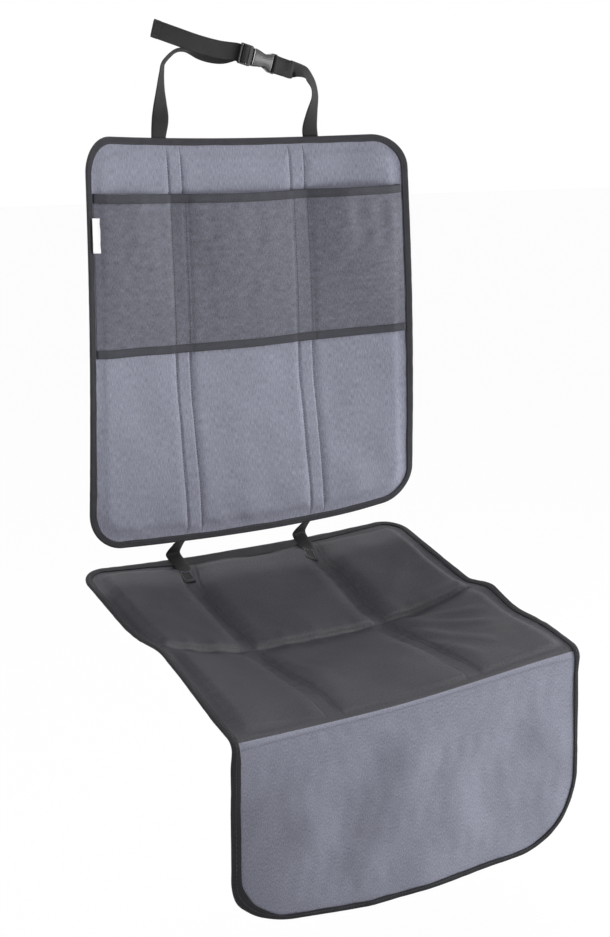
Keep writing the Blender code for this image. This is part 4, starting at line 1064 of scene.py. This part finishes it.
def stitches(name, bend, relief, lines, paint, length=0.0027, pitch=0.0037, radius=0.00032, lift=0.0001):
    """Short raised threads along flat lines on a sheet."""
    each = len(THREAD_RINGS) * THREAD_SIDES
    pattern = grid_faces(len(THREAD_RINGS), THREAD_SIDES, flip=True, closed=True)
    points, faces, base = [], [], 0
    for line in lines:
        middle, ahead = resampled(line, pitch)
        rings = []
        for part, girth, up in THREAD_RINGS:
            place = middle + ahead * part * length
            x, y = place.T
            height = relief(x, y) + lift + up * radius
            centre = bend(x, y, height)
            out = unit(bend(x, y, height + 0.001) - centre)
            forward = unit(bend(*(place + ahead * 1e-4).T, height) - centre)
            aside = np.cross(forward, out)
            rings.append(np.stack([centre + girth * radius * (math.cos(t) * aside + math.sin(t) * out)
                                   for t in np.arange(THREAD_SIDES) * math.tau / THREAD_SIDES], 1))
        points.append(np.stack(rings, 1).reshape(-1, 3))
        index = base + each * np.arange(len(middle))[:, None, None] + pattern[None]
        faces.append(index.reshape(-1, 4))
        base += each * len(middle)
    return mesh_piece(name, np.concatenate(points), np.concatenate(faces), paint)


def tape_height(x, y):
    return BINDING_OUT * 1.10 + 0.0 * x


def up_channels(first, last):
    return [[(x, first), (x, last)] for x in STITCHES_X]


def level(place, half):
    return [(-half, place), (half, place)]


PANEL_SIDE = HALF_WIDTH - BINDING_WIDTH
BOX_HALF = 0.0070
BAND_SEAM = 0.0018
back_stitches = stitches("back_stitches", on_back, tape_height, [back_cut.line(0.0070)], thread)
seat_stitches = stitches("seat_stitches", on_seat, tape_height, [seat_cut.line(0.0045)], thread)
back_lines = up_channels(BINDING_WIDTH, POCKET_FOOT) + up_channels(POCKET_TOP, BACK_HEIGHT - BINDING_WIDTH)
back_rows = stitches("back_channel_stitches", on_back, back_relief, back_lines, thread)
net_lines = up_channels(POCKET_FOOT + POCKET_BAND, POCKET_TOP - POCKET_BAND)
net_rows = stitches("net_stitches", on_back, mesh_relief, net_lines, thread)
seat_lines = up_channels(BINDING_WIDTH, SEAT_LENGTH - 0.002) + [level(CREASE_AT, PANEL_SIDE)]
seat_rows = stitches("seat_channel_stitches", on_seat, seat_relief, seat_lines, thread)
fold_row = stitches("fold_stitches", on_seat, flap_relief, [level(SEAM_AT + 0.006, PANEL_SIDE)], pale_thread)
connector_boxes = [[(x + turn * share + side * BOX_HALF, CONNECTOR_ON_SEAT * share)
                    for share, side in ((0.93, -1), (0.93, 1), (0.62, 1), (0.62, -1), (0.93, -1))]
                   for x, turn in CONNECTORS]
connector_rows = stitches("connector_stitches", on_seat,
                          lambda x, y: seat_relief(x, y) + 1.6 * WEBBING_THICKNESS,
                          connector_boxes, pale_thread, length=0.0022, pitch=0.0030)
band_places = (POCKET_TOP - POCKET_BAND + BAND_SEAM, POCKET_FOOT + BAND_SEAM,
               POCKET_FOOT + POCKET_BAND - BAND_SEAM)
band_rows = stitches("band_stitches", on_back, lambda x, y: mesh_relief(x, y) + 0.0013,
                     [level(up, POCKET_SIDE) for up in band_places], thread)


# Buckle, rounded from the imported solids

def moulded_copy(node, name, paint, half_width, crown, waist=(0.0, 0.0, 1.0)):
    """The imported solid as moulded: edges rounded, faces crowned, and drawn in by a hump at its waist."""
    source = bpy.data.objects[node]
    mesh = bpy.data.meshes.new_from_object(source)
    mesh.transform(buckle_place.inverted() @ source.matrix_world)
    mesh.materials.clear()
    mesh.materials.append(paint)
    piece = placed(name, mesh)
    melted = piece.modifiers.new("melted", "REMESH")
    melted.mode = "VOXEL"
    melted.voxel_size = 0.00035
    rounded = piece.modifiers.new("rounded", "SMOOTH")
    rounded.factor = 0.5
    rounded.iterations = 6
    bpy.context.view_layer.update()
    shaped = bpy.data.meshes.new_from_object(piece.evaluated_get(bpy.context.evaluated_depsgraph_get()))
    piece.modifiers.clear()
    piece.data = shaped
    for place in (vertex.co for vertex in shaped.vertices):
        place.y *= 1.0 + crown * (1.0 - min(abs(place.z) / half_width, 1.0) ** 2)
        place.z *= 1.0 - hump(place.x, *waist)
    shaped.transform(buckle_place)
    shaped.polygons.foreach_set("use_smooth", [True] * len(shaped.polygons))
    return piece


plug = moulded_copy("buckle_plug", "plug", plug_acetal, 0.0126, 0.10)
socket = moulded_copy("buckle_socket", "socket", acetal, 0.0120, 0.30, waist=(0.22, 0.0165, 0.0065))


# What each piece stands for, and what it is made of

STANDS_FOR = (
    (back_cloth, "melange", "back_face_panel", "back_pad_left", "back_pad_middle", "back_pad_right"),
    (back_lining, "backing", "back_lining"),
    (back_tape, "binding", "back_edge_binding"),
    (pocket_net, "mesh", "pocket_mesh"),
    (pocket_band, "binding", "pocket_top_binding"),
    (foot_tape, "binding", "pocket_foot_tape"),
    (tag, "tag", "side_tag"),
    (seat_cloth, "coated", "seat_face_panel", "seat_pad_rear_left", "seat_pad_rear_middle",
     "seat_pad_rear_right", "seat_pad_front_left", "seat_pad_front_middle", "seat_pad_front_right"),
    (flap_cloth, "melange", "flap_face_panel"),
    (seat_lining, "backing", "seat_lining"),
    (seat_tape, "binding", "seat_edge_binding"),
    (left_strap, "webbing", "headrest_strap_left"),
    (right_strap, "webbing", "headrest_strap_right"),
    (left_connector, "webbing", "connector_strap_left"),
    (right_connector, "webbing", "connector_strap_right"),
    (plug, "buckle", "buckle_plug"),
    (socket, "buckle", "buckle_socket"),
)
for piece, slot, *nodes in STANDS_FOR:
    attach(piece, "root")
    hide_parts(*nodes)
for piece in (back_stitches, back_rows, net_rows, band_rows, seat_stitches, seat_rows, fold_row):
    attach(piece, "root")
for piece in (tail_hem, connector_rows):
    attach(piece, "root")


# Floor, light and camera

FLOOR_HEIGHT = -0.95
FLOOR_HALF = 12.0
FLOOR_WHITE = 0.97
WORLD_STRENGTH = 0.21
SEAT_MIDDLE = (0.0, -0.15, -0.35)
# Each lamp's name, place, target, size and power
LAMPS = (
    ("low_right", (1.15, -1.0, -0.4), SEAT_MIDDLE, 0.6, 11.0),
    ("front", (0.47, -0.84, 0.105), (0.0, -0.02, 0.09), 0.22, 0.8),
    ("left_side", (-1.1, -0.35, 0.6), SEAT_MIDDLE, 0.6, 9.0),
    ("above_behind", (0.2, 0.7, 1.6), SEAT_MIDDLE, 1.0, 27.0),
    ("right_side", (1.8, -0.6, 0.0), SEAT_MIDDLE, 0.8, 23.0),
)


def studio_white(nodes, lit, white_kind, share):
    """Plain white to the camera, to gloss and through glass, over what is lit, by the given share."""
    rays = nodes.add("ShaderNodeLightPath")
    seen = nodes.maths("MAXIMUM", rays["Is Camera Ray"], rays["Is Glossy Ray"])
    seen = nodes.maths("MULTIPLY", nodes.maths("MAXIMUM", seen, rays["Is Transmission Ray"]), share)
    white = nodes.add(white_kind, ("Color", (1.0, 1.0, 1.0, 1.0)), ("Strength", 1.0))[0]
    mixed = nodes.add("ShaderNodeMixShader", (0, seen), (1, lit), (2, white))[0]
    output = next(node for node in nodes.tree.nodes if node.type.startswith("OUTPUT"))
    nodes.put(mixed, output.inputs["Surface"])


def make_floor():
    paint = Paint("floor", Base_Color=(0.90, 0.90, 0.90, 1.0), Roughness=0.9)
    studio_white(paint, paint.shader.outputs[0], "ShaderNodeEmission", FLOOR_WHITE)
    around = ((-1, -1), (1, -1), (1, 1), (-1, 1))
    corners = [(x * FLOOR_HALF, y * FLOOR_HALF, FLOOR_HEIGHT) for x, y in around]
    mesh_piece("floor", corners, [(0, 1, 2, 3)], paint.material, smooth_faces=False)


def make_world():
    world = bpy.data.worlds.new("studio")
    bpy.context.scene.world = world
    world.use_nodes = True
    lit = world.node_tree.nodes["Background"]
    lit.inputs["Color"].default_value = (0.97, 0.98, 1.0, 1.0)
    lit.inputs["Strength"].default_value = WORLD_STRENGTH
    studio_white(Nodes(world.node_tree), lit.outputs[0], "ShaderNodeBackground", 1.0)


def soft_lamp(name, place, target, size, power):
    data = bpy.data.lights.new(name, "AREA")
    data.shape = "DISK"
    data.size = size
    data.energy = power
    lamp = placed(name, data)
    lamp.location = place
    lamp.rotation_euler = (Vector(target) - Vector(place)).to_track_quat("-Z", "Y").to_euler()


def make_camera():
    """Fitted to the photograph: the camera stands a little to the left and looks slightly down."""
    right = Vector((0.82337, -0.56744, 0.00915))
    up = Vector((0.07354, 0.12267, 0.98972))
    back = Vector((-0.56273, -0.81423, 0.14274))
    data = bpy.data.cameras.new("camera")
    data.sensor_width = 36.0
    data.lens = 62.524
    data.shift_x = -0.10139
    data.shift_y = -0.14781
    camera = placed("camera", data)
    turn = Matrix((right, up, back)).transposed().to_4x4()
    camera.matrix_world = Matrix.Translation((-0.98394, -1.76902, 0.05374)) @ turn
    bpy.context.scene.camera = camera


make_floor()
make_world()
for lamp in LAMPS:
    soft_lamp(*lamp)
make_camera()
bpy.context.scene.view_settings.view_transform = "Standard"
